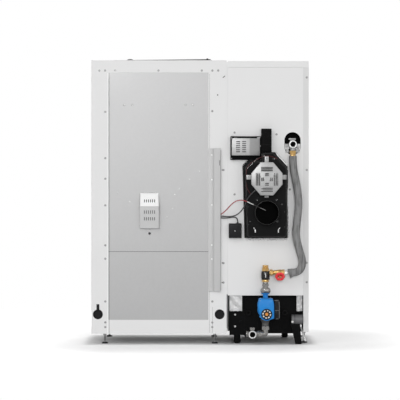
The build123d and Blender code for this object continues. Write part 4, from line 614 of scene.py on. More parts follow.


# Small marks of the sheet metal: rivets with a painted shadow ring, pips, pierced holes painted dark as shade, folds
# painted light as a highlight, joints and one raised seam

sheetMarks = {
    "faceBehind": 1.5, "rivets": [(-417, 1315), (-373.5, 1315), (-79, 1315), (-40, 1315)],
    "rivetProfile": [(0, 0), (5, 0), (4.8, 1.2), (3.4, 3), (1.4, 3.7), (0, 3.8)],
    "rivetShade": [(4.8, 0.6), (6.6, 0.3), (6.6, -0.1)], "shadeDrop": 1.2,
    "pips": [(-453, 833), (-387, 783), (-137.5, 822), (-114, 856), (-57, 904), (-4, 951), (-151, 746), (-183, 700)],
    "pipProfile": [(0, 0), (3.4, 0), (3, 1), (1.6, 1.6), (0, 1)],
    "holes": [(97, 1371), (68, 1282.5), (123, 958), (123, 447), (122, 339)],
    "holeProfile": [(0, 0.1), (3, 0.1), (3.4, 0.6), (2.8, 0.4), (0, 0.2)],
    "seam": (-258.0, 134.0, 509.0, 1.6, 0.7), "sheetJoint": (-504.0, 46.0, 509.0, 1.8),
    # middle, foot, top, width
    "gaps": [(-500.2, 62, 1491, 1.7), (52.5, 62, 1486, 0.7), (68.5, 62, 205, 0.7)],
    "folds": [(-506.5, 62, 1491, 4.2)],
    "slot": {"x": 131.5, "z": 1470.5, "length": 16.0, "width": 4.0, "turn": -38.0},
}


def makeUpright(bm, mark, bevel, segments):
    x, foot, top, width = mark
    slab(bm, (x - width / 2, rearY - 0.3, foot), (x + width / 2, rearY + 0.4, top), bevel, segments)


def makeSheetMarks():
    face = rearY + sheetMarks["faceBehind"]
    bm = bmesh.new()
    for x, z in sheetMarks["rivets"]:
        turned(bm, sheetMarks["rivetProfile"], (x, face, z), steps=24)
    for x, z in sheetMarks["pips"]:
        turned(bm, sheetMarks["pipProfile"], (x, face, z), steps=20)
    paint(bm, 1)
    # dark ring set off the centre of each rivet: painted shadow
    for x, z in sheetMarks["rivets"]:
        turned(bm, sheetMarks["rivetShade"], (x, face, z + sheetMarks["shadeDrop"]), steps=24)
    paint(bm, 2)
    x, foot, top, width, proud = sheetMarks["seam"]
    slab(bm, (x - width / 2, face - proud, foot), (x + width / 2, face, top), 0.3, 1)
    paint(bm, 0)
    # bright strip on the fold: painted highlight
    for fold in sheetMarks["folds"]:
        makeUpright(bm, fold, 0.3, 1)
    paint(bm, 3)
    finishPiece("sheetRivets", bm, ["galvanised", "brightFitting", "darkPlateAndPaintedShade", "whiteAndPaintedHighlight"])
    bm = bmesh.new()
    # holes and slot: dark faces painted as the shade inside them; the gaps and the sheet joint are dark joints
    for x, z in sheetMarks["holes"]:
        turned(bm, sheetMarks["holeProfile"], (x, rearY, z), steps=24)
    for gap in sheetMarks["gaps"]:
        makeUpright(bm, gap, 0, 1)
    left, right, z, height = sheetMarks["sheetJoint"]
    slab(bm, (left, face - 0.25, z - height / 2), (right, face + 0.2, z + height / 2))
    slot = sheetMarks["slot"]
    turn = (Matrix.Translation(Vector((slot["x"], rearY - 0.2, slot["z"])))
            @ Matrix.Rotation(math.radians(slot["turn"]), 4, "Y"))
    bm.faces.new(newRing(bm, [turn @ Vector((x, 0, z)) for x, z in slotOutline(slot["length"], slot["width"], 20)]))
    finishPiece("piercedHoles", bm, "darkHole")


makeScrews()
makeSheetMarks()


# Cable channel with its ribbed wing, the rubber lip that the cables leave by, and a dark strip beside it painted as
# its shadow

channel = {"wing": 27.0, "wingProud": 9.0, "ribs": (11.0, 20.5), "ribWidth": 2.0, "ribProud": 0.8,
           "slit": (983, 1012),
           "lip": 705, "lipHalf": 16, "heads": (1040, 905, 765.6, 545.6, 468.6), "headX": 65.0,
           "headProfile": [(4.4, -0.4), (4.2, 1), (2.8, 1.7), (0, 1.8)]}


def makeChannel():
    low, high = box("cable_channel")
    bm = bmesh.new()
    wingRight, wingY = low.x + channel["wing"], rearY - channel["wingProud"]
    slab(bm, (low.x, wingY, low.z), (wingRight, rearY, high.z), 1)
    slab(bm, (wingRight - 0.4, low.y, low.z), (high.x, rearY, high.z), 1.6, 3)
    for offset in channel["ribs"]:
        left = low.x + offset
        slab(bm, (left, wingY - channel["ribProud"], low.z + 1),
             (left + channel["ribWidth"], wingY + 0.2, high.z - 1), 0.5)
    slab(bm, (wingRight + 4, low.y - 0.6, low.z + 4), (wingRight + 5.2, low.y + 0.2, high.z - 4), 0.2, 1)
    paint(bm, 0)
    for face in bm.faces:
        if face.calc_center_median().x < wingRight - 0.6:
            face.material_index = 2
    for height in channel["heads"]:
        turned(bm, channel["headProfile"], (channel["headX"], wingY - 0.2, height), steps=24)
    paint(bm, 3)
    # slit painted dark as the shade in its notch; the rubber lip below it is black
    slab(bm, (high.x - 6.2, low.y - 0.3, channel["slit"][0]), (high.x - 3.8, low.y + 1, channel["slit"][1]), 0.3, 1)
    lip, half = channel["lip"], channel["lipHalf"]
    slab(bm, (high.x - 0.5, rearY - 17, lip - half), (high.x + 1.2, rearY - 5, lip + half), 0.8)
    paint(bm, 1)
    # dark strip along the channel's right edge: painted shadow on the panel
    slab(bm, (high.x - 0.2, rearY - 4, low.z + 6), (high.x + 3, rearY, high.z - 10), 0.6, 1)
    paint(bm, 4)
    finishPiece("cableChannel", bm, ["channelCoat", "darkHole", "wingCoat", "whiteAndPaintedHighlight", "darkPlateAndPaintedShade"],
                stands="cable_channel")


# Pale strip that closes the gap between the pellet store and the boiler

seamStrip = {"foot": 274, "top": 1552, "front": 0.4, "back": 6}


def makeSeamStrip():
    left, right = box("hopper_right_side")[1].x, box("boiler_rear_panel")[0].x
    bm = bmesh.new()
    slab(bm, (left - 1, rearY + seamStrip["front"], seamStrip["foot"]),
         (right + 1, rearY + seamStrip["back"], seamStrip["top"]), 0.6)
    finishPiece("seamStrip", bm, "whiteCasing")


makeChannel()
makeSeamStrip()


# Vent hood: sloping top face painted bright as a highlight, with slots, toothed top edge, lower face painted darker
# as shade, with two rows of slots

hood = {"fold": 759, "footProud": 20.5, "topShort": 3, "slots": 6, "pitch": 11.2, "slotWidth": 4.2,
        "upper": (788, 15.5),
        "rows": ((727, 18), (690, 18)), "teeth": 7, "toothStart": 27, "toothPitch": 9.8, "toothHalf": 4.5,
        "toothHeight": 6.0}


def makeHood():
    low, high = box("vent_hood")
    fold, footY, back = hood["fold"], rearY - hood["footProud"], rearY + 1.5
    outer = [(back, low.z), (footY, low.z), (low.y, fold), (rearY - 0.5, high.z)]
    topRight = high.x - hood["topShort"]
    bm = bmesh.new()
    left = newRing(bm, [(low.x, y, z) for y, z in outer])
    right = newRing(bm, [(topRight if i == 3 else high.x, y, z) for i, (y, z) in enumerate(outer)])
    for i in range(3):
        bm.faces.new((left[i], left[i + 1], right[i + 1], right[i]))
    bm.faces.new(left + [bm.verts.new((low.x, back, high.z))])
    bm.faces.new(right + [bm.verts.new((topRight, back, high.z))])
    roundEdges(bm, [edge for edge in bm.edges if len(edge.link_faces) == 2], 1.8, 3)
    for tooth in range(hood["teeth"]):
        x, foot = low.x + hood["toothStart"] + tooth * hood["toothPitch"], high.z - 0.6
        tip = bm.verts.new((x, rearY - 3.2, high.z + hood["toothHeight"]))
        feet = newRing(bm, [(x - hood["toothHalf"], rearY - 1.6, foot), (x + hood["toothHalf"], rearY - 1.6, foot),
                            (x, rearY + 1.2, foot)])
        for i in range(3):
            bm.faces.new((feet[i], feet[(i + 1) % 3], tip))
    paint(bm, 0)
    # faces above the fold that look up take the light copy: painted highlight
    for face in bm.faces:
        if face.calc_center_median().z > fold + 1 and face.normal.z ** 2 > 0.03 and face.normal.x ** 2 < 0.3:
            face.material_index = 2

    def faceY(z):
        if z > fold:
            return low.y + (z - fold) / (high.z - fold) * (rearY - 0.5 - low.y)
        return footY + (z - low.z) / (fold - low.z) * (low.y - footY)

    columns = [(low.x + high.x) / 2 + 1 + (column - (hood["slots"] - 1) / 2) * hood["pitch"]
               for column in range(hood["slots"])]
    wide = hood["slotWidth"] / 2
    # slot faces: dark above the fold and grey below, painted shade standing in for the openings
    for z, tall in (hood["upper"], *hood["rows"]):
        for x in columns:
            flatFace(bm, x - wide, x + wide, z - tall / 2, z + tall / 2, lambda height: faceY(height) - 0.4)
        paint(bm, 1 if z > fold else 3)
    for z, tall in hood["rows"]:
        for x in columns:
            slab(bm, (x + wide, faceY(z) - 2.2, z - tall / 2), (x + wide + 1.4, faceY(z) + 0.8, z + tall / 2), 0.4, 1)
    paint(bm, 0)
    finishPiece("ventHood", bm, ["hoodShadedFace", "darkHole", "whiteAndPaintedHighlight", "slotShade"], stands="vent_hood",
                smooth=30)


makeHood()


# Lid handle, a bowed black grip, and the hinge with its round ends

lidGrip = {"width": 30, "rod": 3.9, "steps": 24, "bow": 0.45, "footInset": 8, "foot": (14, 8, 4)}
lidHinge = {"middle": -209, "span": 470, "shares": (0.2, 0.8), "leaf": (63.5, 86, 23, 1561, 1563), "axis": (63, 1567),
            "knuckle": [(0, 0), (5, 0), (6, 0.8), (6, 11.8), (5.2, 13), (0, 13.3)], "knuckleStart": 9.8}


def makeLidGrip():
    low, high = box("lid_handle")
    bm = bmesh.new()
    x, rise, steps = (low.x + high.x) / 2, high.z - low.z, lidGrip["steps"]
    sweptRings(bm, [Vector((x, low.y + 6 + step / steps * (high.y - low.y - 12),
                            low.z + (rise - 4) * math.sin(math.pi * step / steps) ** lidGrip["bow"]))
                    for step in range(steps + 1)], lidGrip["rod"], 16)
    for vert in bm.verts:
        vert.co.x = x + (vert.co.x - x) * lidGrip["width"] / (2 * lidGrip["rod"])
    wide, deep, tall = lidGrip["foot"]
    for y in (low.y + lidGrip["footInset"], high.y - lidGrip["footInset"]):
        slab(bm, (x - wide, y - deep, low.z), (x + wide, y + deep, low.z + tall), 1.5, 3)
        crossHead(bm, Vector((x, y, low.z + tall)), 0.1, 0.1, 8)
    finishPiece("lidHandle", bm, "blackMoulding", body="lid", stands="lid_handle")


def makeLidHinge():
    bm = bmesh.new()
    (left, right, half, foot, top), (axisX, axisZ) = lidHinge["leaf"], lidHinge["axis"]
    for share in lidHinge["shares"]:
        y = lidHinge["middle"] + lidHinge["span"] * share
        slab(bm, (left, y - half, foot), (right, y + half, top), 0.6, 1)
        for side in (-1, 1):
            turned(bm, lidHinge["knuckle"], (axisX, y + side * lidHinge["knuckleStart"], axisZ), (0, side, 0), 28)
    finishPiece("lidHinge", bm, "darkSteel", stands="lid_hinge")


# Rubber bead on the lid's rear edge, thicker towards the hinge, with its end cap

lidBead = {"start": -397, "end": 46, "thin": 0.6, "thick": 5.2, "top": 1567, "cap": (36, 58.5), "capWide": 9.5,
           "capTall": 10, "capDeep": 12, "steps": 12}


def makeLidBead():
    top, rear = lidBead["top"], box("hopper_lid")[0].y
    bm = bmesh.new()
    rings = []
    for step in range(lidBead["steps"] + 1):
        share = step / lidBead["steps"]
        x = lidBead["start"] + (lidBead["end"] - lidBead["start"]) * share
        tall = lidBead["thin"] + (lidBead["thick"] - lidBead["thin"]) * share
        rings.append(newRing(bm, [(x, rear + y, top + z) for y, z in (
            (0.4, -0.2), (0.4, tall * 0.8), (1, tall), (2.6, tall), (3.2, tall * 0.8), (3.2, -0.2))]))
    joinRings(bm, rings, 6)
    bm.faces.new(rings[0])
    bm.faces.new(rings[-1])
    left, right = lidBead["cap"]
    start, deep = (left, rear + 0.2, top - 0.2), rear + lidBead["capDeep"]
    slab(bm, start, (left + lidBead["capWide"], deep, top + lidBead["capTall"]), 1.8, 3)
    slab(bm, start, (right, deep, top + lidBead["thick"]), 1.4)
    finishPiece("lidBead", bm, "blackMoulding", body="lid")


makeLidGrip()
makeLidHinge()
makeLidBead()
print("casing details made")


# Flue gas fan: housing with its rolled lip, octagonal louvred cover, flue ring and temperature probe

housing = {
    "outline": [(-124.601, 73), (-94.6, 103), (-27, 103), (-27, 148), (48, 148), (117, 73), (117, -324),
                (-113, -324)],
    "inset": 10.5, "lip": 3, "ridge": 2, "ridgeReach": 124,
    "rimPath": [(-30, 105), (-96, 105), (-126, 75), (-114.5, -324)], "rim": 5.2,
    "welds": [(-104, 20), (-104, -60), (104, -40), (-98, -150), (98, -180), (-98, -250), (98, -262)],
    "weldProfile": [(0, 1.4), (1.6, 1.2), (3.4, 0.4), (4.2, -0.4)],
    "bosses": [(-17, 130), (40, 112)], "bossProfile": [(9, 0), (7.8, 1.2), (6, 0.4), (0, 0.1)],
    "dents": [(60, -232, 8), (53, -113, 6), (-53, -113, 6), (84, -138, 6), (-92, -232, 5)],
    "clips": [(-62, -279), (64, -279)], "clipWire": [(0, -1, -12), (-1, -4, 2), (6, -5, 8), (10, -2, 13)],
    "strip": [(51, 141), (112.5, 75), (112.5, 69), (51, 136.5)]}


def fanPoint(x, z, y):
    return Vector((fanX + x, y, fanZ + z))


def makeHousingLip():
    face = box("motor_cover")[1].y
    bm = bmesh.new()
    inset = housing["inset"]
    loop = [fanPoint(x + (inset if x < -30 else -inset if x > 40 else inset * 0.7), z - math.copysign(inset, z),
                     face + 0.6)
            for x, z in housing["outline"]]
    bentTube(bm, loop + [loop[0], loop[0] + (loop[1] - loop[0]) * 0.1], housing["lip"], 6, 10)
    ridge = [fanPoint(0, 0, face + 0.4) + Vector((math.cos(turn), 0, math.sin(turn))) * housing["ridgeReach"]
             for turn in (math.radians(-22.5 + 45 * step) for step in range(6))]
    bentTube(bm, ridge, housing["ridge"], 4, 10)
    for x, z in housing["welds"]:
        turned(bm, housing["weldProfile"], fanPoint(x, z, face), steps=18)
    for x, z in housing["bosses"]:
        turned(bm, housing["bossProfile"], fanPoint(x, z, face), steps=26)
    for x, z, size in housing["dents"]:
        turned(bm, [(size, -0.4), (size * 0.9, 1.6), (size * 0.55, 1.2), (0, 0.4)], fanPoint(x, z, face), steps=26)
    bentTube(bm, [fanPoint(x, z, rearY - 6.5) for x, z in housing["rimPath"]], housing["rim"], 12, 12)
    finishPiece("housingLip", bm, "glossBlack")


def makeHousingClips():
    face = box("motor_cover")[1].y
    bm = bmesh.new()
    for x, z in housing["clips"]:
        side = math.copysign(1, x)
        base = fanPoint(x, z, face)
        slab(bm, base + Vector((-2.8, -1.6, -14)), base + Vector((2.8, 0, 2)), 0.8)
        bentTube(bm, [base + Vector((side * out, y, up)) for out, y, up in housing["clipWire"]], 1.4, 3, 10)
        crossHead(bm, base + Vector((side * 5.5, -0.2, 9)), 3, 1.6, 14)
    near, far = (newRing(bm, [fanPoint(x, z, y) for x, z in housing["strip"]]) for y in (face - 1.2, face + 0.5))
    bm.faces.new(near)
    joinRings(bm, [near, far], 4)
    finishPiece("housingClips", bm, "brightFitting")


makeHousingLip()
makeHousingClips()


cover = {"edge": 2.2, "top": 34.0, "side": 30.0, "width": 84.5, "height": 90.0, "cornerShare": 0.42, "sheet": 1.6,
         "screws": ((0, 113), (-101, 12), (101, 12), (0, -97)), "screwRadius": 3.8, "screwHeight": 2.4,
         # left, foot, right and top of each tab
         "tabs": [(-11, 88, 11, 124), (-11, -102, 11, -88), (-110.5, -3, -82, 22), (82, -3, 110.5, 22)],
         "louvreProud": 3.0, "pitch": 8.6, "lift": -3.0, "slitShare": 0.48, "slitHalf": 2.5, "slitShift": 3.6,
         # count, nearest centre, length and width of one, and whether they lie in rows
         "louvres": [(3, 44.0, 66.0, 5.0, True), (2, 18.9, 21.0, 5.0, True), (3, 36.9, 71.0, 5.0, False),
                     (2, 16.0, 19.0, 5.0, False)]}


# Middle, width and height of each louvre, and the side it opens to
def louvrePlaces():
    for count, near, long, wide, inRows in cover["louvres"]:
        for side in (-1, 1):
            for step in range(count):
                reach = side * (near + step * cover["pitch"])
                if inRows:
                    yield 0.0, reach + cover["lift"], long, wide, side
                else:
                    yield reach, cover["lift"], wide, long, side


def octagon(inset):
    wide, tall = cover["width"] - inset, cover["height"] - inset
    top, side = (cover[key] - inset * cover["cornerShare"] for key in ("top", "side"))
    return [(-top, tall), (top, tall), (wide, side), (wide, -side), (top, -tall), (-top, -tall), (-wide, -side),
            (-wide, side)]


def makeMotorCover():
    face, back = (corner.y for corner in box("motor_cover"))
    bm = bmesh.new()
    edge = cover["edge"]
    rings = [newRing(bm, [fanPoint(x, z, y) for x, z in octagon(inset)]) for inset, y in (
        (0, back), (0, face + edge), (edge * 0.3, face + edge * 0.3), (edge, face))]
    joinRings(bm, rings, 8)
    bm.faces.new(rings[-1])
    for left, foot, right, top in cover["tabs"]:
        slab(bm, fanPoint(left, foot, back - cover["sheet"]), fanPoint(right, top, back), 0.5)
    for x, z, width, tall, opens in louvrePlaces():
        louvre(bm, fanPoint(x, z, face - 0.3), width, tall, cover["louvreProud"], opens)
    paint(bm, 0)
    # dark faces under the louvres: painted shade standing in for the openings
    for x, z, width, tall, opens in louvrePlaces():
        long, wide, shift = max(width, tall) * cover["slitShare"], cover["slitHalf"], opens * cover["slitShift"]
        middle = fanPoint(x, z, face) + (Vector((0, 0, shift)) if width > tall else Vector((shift, 0, 0)))
        across, rise = (long, wide) if width > tall else (wide, long)
        flatFace(bm, middle.x - across, middle.x + across, middle.z - rise, middle.z + rise, lambda z: face - 0.5)
    paint(bm, 1)
    finishPiece("motorCover", bm, ["platedSheet", "darkHole"], stands="motor_cover", smooth=28)
    bm = bmesh.new()
    for x, z in cover["screws"]:
        crossHead(bm, fanPoint(x, z, back - cover["sheet"]), cover["screwRadius"], cover["screwHeight"], 18)
    finishPiece("coverScrews", bm, "zincScrew")


makeMotorCover()


flue = {"radius": 65, "wall": 1.6, "step": 1.5, "collar": 34, "deep": -58}


def makeFlueOutlet():
    low, high = box("flue_outlet")
    start, length = (fanX, high.y, (low.z + high.z) / 2), high.y - low.y
    radius, step, collar = flue["radius"], flue["step"], flue["collar"]
    inner, lip = radius - flue["wall"], (radius - flue["wall"] * 0.4, length - 0.2)
    bm = bmesh.new()
    # the flue's inner wall and the disc that closes it are painted dark as the shade inside
    for index, profile in enumerate((
            [(inner, 0), (radius + step, 0), (radius + step, collar), (radius + step * 0.6, collar + 2),
             (radius, collar + 2.5), (radius, length - 1.5), lip],
            [lip, (radius - flue["wall"] * 0.7, length), (inner, length - 1.2), (inner, length - 4)],
            [(inner, length - 4), (inner, 0), (inner, flue["deep"]), (0, flue["deep"])])):
        turned(bm, profile, start, steps=72)
        paint(bm, index)
    finishPiece("flueOutlet", bm, ["blackSheet", "flueRimGrey", "darkHole"], stands="flue_outlet")


# Probe: thin rod, dark socket and white sleeve, along one slanting line
probe = {"tip": (-5, 78.5), "turn": 155, "forms": [
    ([(0, 0), (1.2, 0.3), (1.6, 1.4), (1.6, 34)], 0),
    ([(1.6, 33.8), (1.7, 34.2), (1.7, 70.2)], 1), ([(1.8, 70), (3, 70.6), (3, 74.8), (2.4, 75.2)], 1),
    ([(1.6, 74.8), (2.4, 75.2), (2.6, 76.5), (2.6, 110), (2.3, 111.6), (0, 111.8)], 2)]}


def makeProbe():
    tip = Vector((fanX + probe["tip"][0], middleOf("flue_probe").y, box("flue_outlet")[0].z + probe["tip"][1]))
    turn = math.radians(probe["turn"])
    bm = bmesh.new()
    for profile, index in probe["forms"]:
        turned(bm, profile, tip, (math.cos(turn), 0, math.sin(turn)), 24)
        paint(bm, index)
    finishPiece("flueProbe", bm, ["darkPlateAndPaintedShade", "castGrey", "whiteSheath"], stands="flue_probe")


makeFlueOutlet()
makeProbe()


# Foil edge of the insulation behind the fan housing, torn to a ragged fringe whose outer strip is painted darker as
# its shadow

fringe = {"step": 4.0, "tuck": 3, "tail": 2.2, "folds": ((0.45, 1), (0.8, 1.5), (1.0, 0.6)),
          # start, end, outward direction, hang
          "runs": [((-111, -322), (115, -322), (0, -1), 14.0), ((115.5, -322), (115.5, -150), (1, 0), 6.0),
                   ((-112.5, -200), (-112.5, -322), (-1, 0), 4.8), ((115.5, 40), (115.5, -60), (1, 0), 2.5),
                   ((50, 146), (114, 74), (0.74, 0.67), 4.0)]}


def makeFringe():
    rng = random.Random(11)
    y = rearY - 1.2
    bm = bmesh.new()
    for start, end, outward, hang in fringe["runs"]:
        start, end, out = (Vector((x, 0, z)) for x, z in (start, end, outward))
        count = int((end - start).length / fringe["step"])
        rows = []
        for i in range(count + 1):
            base = start + (end - start) * (i / count)
            reach = hang * (0.20 + 1.05 * rng.random())
            lift = 1.2 + 4.6 * rng.random()
            row = [(base - out * fringe["tuck"], y)]
            for share, depth in fringe["folds"]:
                row.append((base + out * (reach * share) + Vector((rng.uniform(-1, 1), 0, rng.uniform(-1, 1))),
                            y - lift * depth))
            row.append((base + out * (reach + fringe["tail"]), y))
            rows.append(newRing(bm, [fanPoint(place.x, place.z, depth) for place, depth in row]))
        # outer strip of each row: painted shadow
        for strip in joinRows(bm, rows):
            strip[-1].material_index = 1
    finishPiece("housingFringe", bm, ["tornFoil", "darkPlateAndPaintedShade"], smooth=60)


makeFringe()


# Thin dark red ignition wire that is clipped round the octagonal cover

wire = {"radius": 1, "elbow": 20, "proud": 1.2, "route": [
    (58, 110), (30, 124), (-24, 124), (-60, 101), (-92, 84), (-110, 56), (-112, 0), (-109, -50), (-86, -84)]}


def makeWire():
    y = box("motor_cover")[1].y - wire["proud"]
    bm = bmesh.new()
    bentTube(bm, [fanPoint(x, z, y) for x, z in wire["route"]], wire["radius"], wire["elbow"], 8)
    finishPiece("ignitionWire", bm, "wireRed")


makeWire()


# Control bracket with its slotted cover, the riser above the fan, and the sensor box

bracket = {"sheet": 2, "bevel": 0.7, "tabs": (22, 62, 104, 148), "tabWidth": 14,
           "screws": ((6, 8), (6, 121), (162, 122))}


def makeBracket():
    low, high = box("control_bracket")
    sheet, bevel = bracket["sheet"], bracket["bevel"]
    bm = bmesh.new()
    slab(bm, low, (high.x, low.y + sheet, high.z), bevel)
    slab(bm, (low.x, low.y + 1, high.z - sheet), (high.x, rearY, high.z), bevel)
    slab(bm, (low.x, low.y + 1, low.z), (low.x + sheet, rearY, high.z), bevel)
    for x in bracket["tabs"]:
        left = low.x + x
        slab(bm, (left, low.y - 2.2, low.z + 0.8), (left + bracket["tabWidth"], low.y + 1, low.z + 4.6), 0.8, 1)
    paint(bm, 0)
    for x, z in bracket["screws"]:
        crossHead(bm, (low.x + x, low.y, low.z + z), 3.2, 1.8, 14)
    paint(bm, 1)
    finishPiece("controlBracket", bm, ["blackMatt", "zincScrew"], stands="control_bracket")


slotted = {"knee": 58, "edge": 14, "slotWidth": 22, "slotHeight": 4.6, "pitch": 11, "rows": 6, "columns": (34, 67),
           "ribs": 11, "screws": ((4, 5), (4, 88))}


def makeSlottedCover():
    low, high = box("slotted_cover")
    face, back, knee, edge = low.y, high.y, high.x - slotted["knee"], high.y - slotted["edge"]
    bm = bmesh.new()
    profile = [(low.x, back), (low.x, face), (knee, face), (high.x, edge), (high.x, back)]
    lower, upper = (newRing(bm, [(x, y, z) for x, y in profile]) for z in (low.z, high.z))
    for i in range(4):
        bm.faces.new((lower[i], lower[i + 1], upper[i + 1], upper[i]))
    bm.faces.new(upper)
    bm.faces.new(lower)
    roundEdges(bm, [line for line in bm.edges if len(line.link_faces) == 2], 1.6, 3)
    slab(bm, (high.x - 16, edge - 0.6, high.z - 1.2), (high.x - 1, back, high.z + 5.2), 0.6, 1)
    slab(bm, (low.x + 12, face + 2, high.z - 1), (low.x + 30, back, high.z + 1.6), 0.5, 1)
    paint(bm, 0)
    # faces of the slope turned away from the light, and the ribs on it, take the dark plated finish: painted shade
    for part in bm.faces:
        if abs(part.normal.x) > 0.2 and part.calc_center_median().x > knee + 2 and part.normal.y < -0.2:
            part.material_index = 3
    for rib in range(slotted["ribs"]):
        x = knee + 3 + (high.x - knee - 6) * (rib + 0.5) / slotted["ribs"]
        y = face + (edge - face) * (x - knee) / (high.x - knee)
        slab(bm, (x - 0.8, y - 0.7, low.z + 3), (x + 0.8, y + 0.8, high.z - 3), 0.3, 1)
    paint(bm, 3)
    # slots: dark faces painted as the shade behind them
    outline = slotOutline(slotted["slotWidth"], slotted["slotHeight"], 16)
    for column in slotted["columns"]:
        for row in range(slotted["rows"]):
            middle = (low.z + high.z) / 2 + (row - (slotted["rows"] - 1) / 2) * slotted["pitch"]
            bm.faces.new(newRing(bm, [(low.x + column + x, face - 0.3, middle + z) for x, z in outline]))
    paint(bm, 1)
    crossHead(bm, (high.x + 0.8, edge + 3, low.z + 52), 5.2, 3.5, 18)
    for x, z in slotted["screws"]:
        crossHead(bm, (low.x + x, face, low.z + z), 2.2, 1.2, 12)
    paint(bm, 2)
    finishPiece("slottedCover", bm, ["platedSheet", "darkHole", "zincScrew", "darkPlateAndPaintedShade"],
                stands="slotted_cover")


riser = {"boss": [(15, 0.1), (13.5, 1.6), (11.8, 0.6), (10, 0.1)], "bossDrop": 35, "screws": (12, 98),
         "seam": (40, 41.2)}


def makeRiser():
    low, high = box("black_riser")
    bm = bmesh.new()
    slab(bm, low, (high.x, rearY, high.z), 2.2, 3)
    turned(bm, riser["boss"], ((low.x + high.x) / 2 - 2, low.y, high.z - riser["bossDrop"]), steps=36)
    for z in riser["screws"]:
        crossHead(bm, (low.x + 6, low.y, low.z + z), 2.8, 1.6, 12)
    foot, top = riser["seam"]
    slab(bm, (low.x - 0.1, low.y - 0.6, low.z + foot), (high.x + 0.1, low.y + 4, low.z + top), 0.3, 1)
    finishPiece("blackRiser", bm, "blackMatt", stands="black_riser")


sensorBox = {"gland": [(3.4, 6), (5.2, 5.5), (6, 4), (6, 0.5), (7.4, 0), (7.4, -2), (0, -2)], "glandX": 49,
             "seam": 13.6,
             "glandRise": 6}


def makeSensorBox():
    low, high = box("sensor_box")
    top, seam = high.z - sensorBox["glandRise"], rearY - sensorBox["seam"]
    bm = bmesh.new()
    slab(bm, (low.x, seam - 0.3, low.z), (high.x, rearY, top), 2.4, 3)
    slab(bm, low, (high.x, seam - 1.2, top), 3, 4)
    slab(bm, (low.x + 1.2, seam - 2, low.z + 1.2), (high.x - 1.2, seam + 1, top - 1.2))
    slab(bm, (low.x + 4, low.y - 0.4, top - 12.5), (high.x - 4, low.y + 1, top - 11.7), 0.2, 1)
    turned(bm, sensorBox["gland"], (low.x + sensorBox["glandX"], rearY - 17, top), upward, 26)
    paint(bm, 0)
    crossHead(bm, ((low.x + high.x) / 2 - 1, low.y, (low.z + top) / 2 - 1.5), 4, 2.2)
    paint(bm, 1)
    finishPiece("sensorBox", bm, ["blackMoulding", "zincScrew"], stands="sensor_box")


# Fan motor behind the cover, finned between its two end caps
def makeFanMotor():
    low, high = box("fan_motor")
    length, radius = high.y - low.y, (high.x - low.x) / 2
    bm = bmesh.new()
    turned(bm, [(radius * share, along) for share, along in (
        (0.9, 0), (1, 1), (1, length * 0.3), (0.96, length * 0.33), (0.96, length * 0.62), (1, length * 0.65),
        (1, length - 6), (0.96, length - 2), (0.88, length), (0.3, length), (0.28, length - 2), (0, length - 2))],
           (fanX, high.y, fanZ), steps=48,
           radiusAt=lambda reach, turn: reach * (1 + (0.012 * math.cos(18 * turn) if reach > radius * 0.9 else 0)))
    finishPiece("fanMotor", bm, "darkSteel", stands="fan_motor")


makeBracket()
makeSlottedCover()
makeRiser()
makeSensorBox()
makeFanMotor()
print("fan and controls made")


# Flow connection: plated port in its opening with torn foil round it, and the brass nipple of the hose

flow = {"height": 1098, "port": 21.5, "bore": 14.8, "depth": 22, "neck": 16, "clip": 26, "barHeight": 8,
        "nut": (1063, 1050),
        "spigot": [(13, 0), (16.5, 0), (16.5, 4), (15, 6), (15, 15), (16.2, 17), (0, 18)],
        "nipple": [(15, 12.5), (16.8, 13.5), (16.8, 16), (15.2, 17.2), (16, 19.5), (15, 21), (16, 23.5), (15, 25),
                   (15.6, 29.8), (0, 29.9)],
        "threads": 5, "threadPitch": 3.2}
hoseX, hoseY = hose["route"][0][:2]


def makeFlowFitting():
    low, high = box("flow_fitting")
    x, y, z, port, bore, depth = hoseX, hoseY, flow["height"], flow["port"], flow["bore"], flow["depth"]
    end = (x, low.y, z)
    bm = bmesh.new()
    turned(bm, [(0, -depth), (bore, -depth), (bore, -1.4), (bore + 0.5, -0.3), (port - 2.2, 0), (port - 0.6, -1),
                (port, -3), (port, -12), (port - 2, -14), (port - 2, -30), (port, -33), (port, -45)], end, steps=60)
    bentTube(bm, [(x, high.y, z), (x, y + 30, z)], flow["neck"], 10, 32)
    paint(bm, 0)
    turned(bm, flow["spigot"], (x, y, z - 17), downward)
    clip = z + flow["clip"]
    slab(bm, (x - 22, rearY - 14, clip), (x + 17, rearY - 11, clip + flow["barHeight"]), 0.8)
    slab(bm, (x - 14, rearY - 13.8, z + 6), (x + 12, rearY - 11.2, clip - 1.5), 0.8, 1)
    paint(bm, 2)
    # threads and the disc deep in the bore: painted shade for the dark inside
    for thread in range(flow["threads"]):
        along = -4 - thread * flow["threadPitch"]
        turned(bm, [(bore, along), (bore - 0.9, along - 1), (bore, along - 2)], end, steps=48)
    turned(bm, [(0, 0.8 - depth), (bore - 0.4, 0.8 - depth), (bore - 0.4, -1.6)], end, steps=48)
    paint(bm, 1)
    finishPiece("flowFitting", bm, ["brightFitting", "darkHole", "darkPlateAndPaintedShade"],
                stands="flow_fitting")
    bm = bmesh.new()
    top, foot = flow["nut"]
    hexNut(bm, (x, y, top), (x, y, foot), 32)
    turned(bm, flow["nipple"], (x, y, top), downward)
    finishPiece("flowNipple", bm, "brass")


opening = {"middle": 1104, "half": 44.5, "straight": 17.5,
           # how far each ring grows, and its depth behind the panel
           "rings": ((0, 0.8), (-1.2, 1), (-1.4, 6), (4, 6.2), (4, 40)),
           "sideSpread": ((-1, 22), (1, 20)), "sideFoot": 1060, "sidePitch": 5.2, "reach": 42.5, "bend": 1086.5,
           "footStart": 17, "footPitch": 3.6, "footZ": 1062.5}


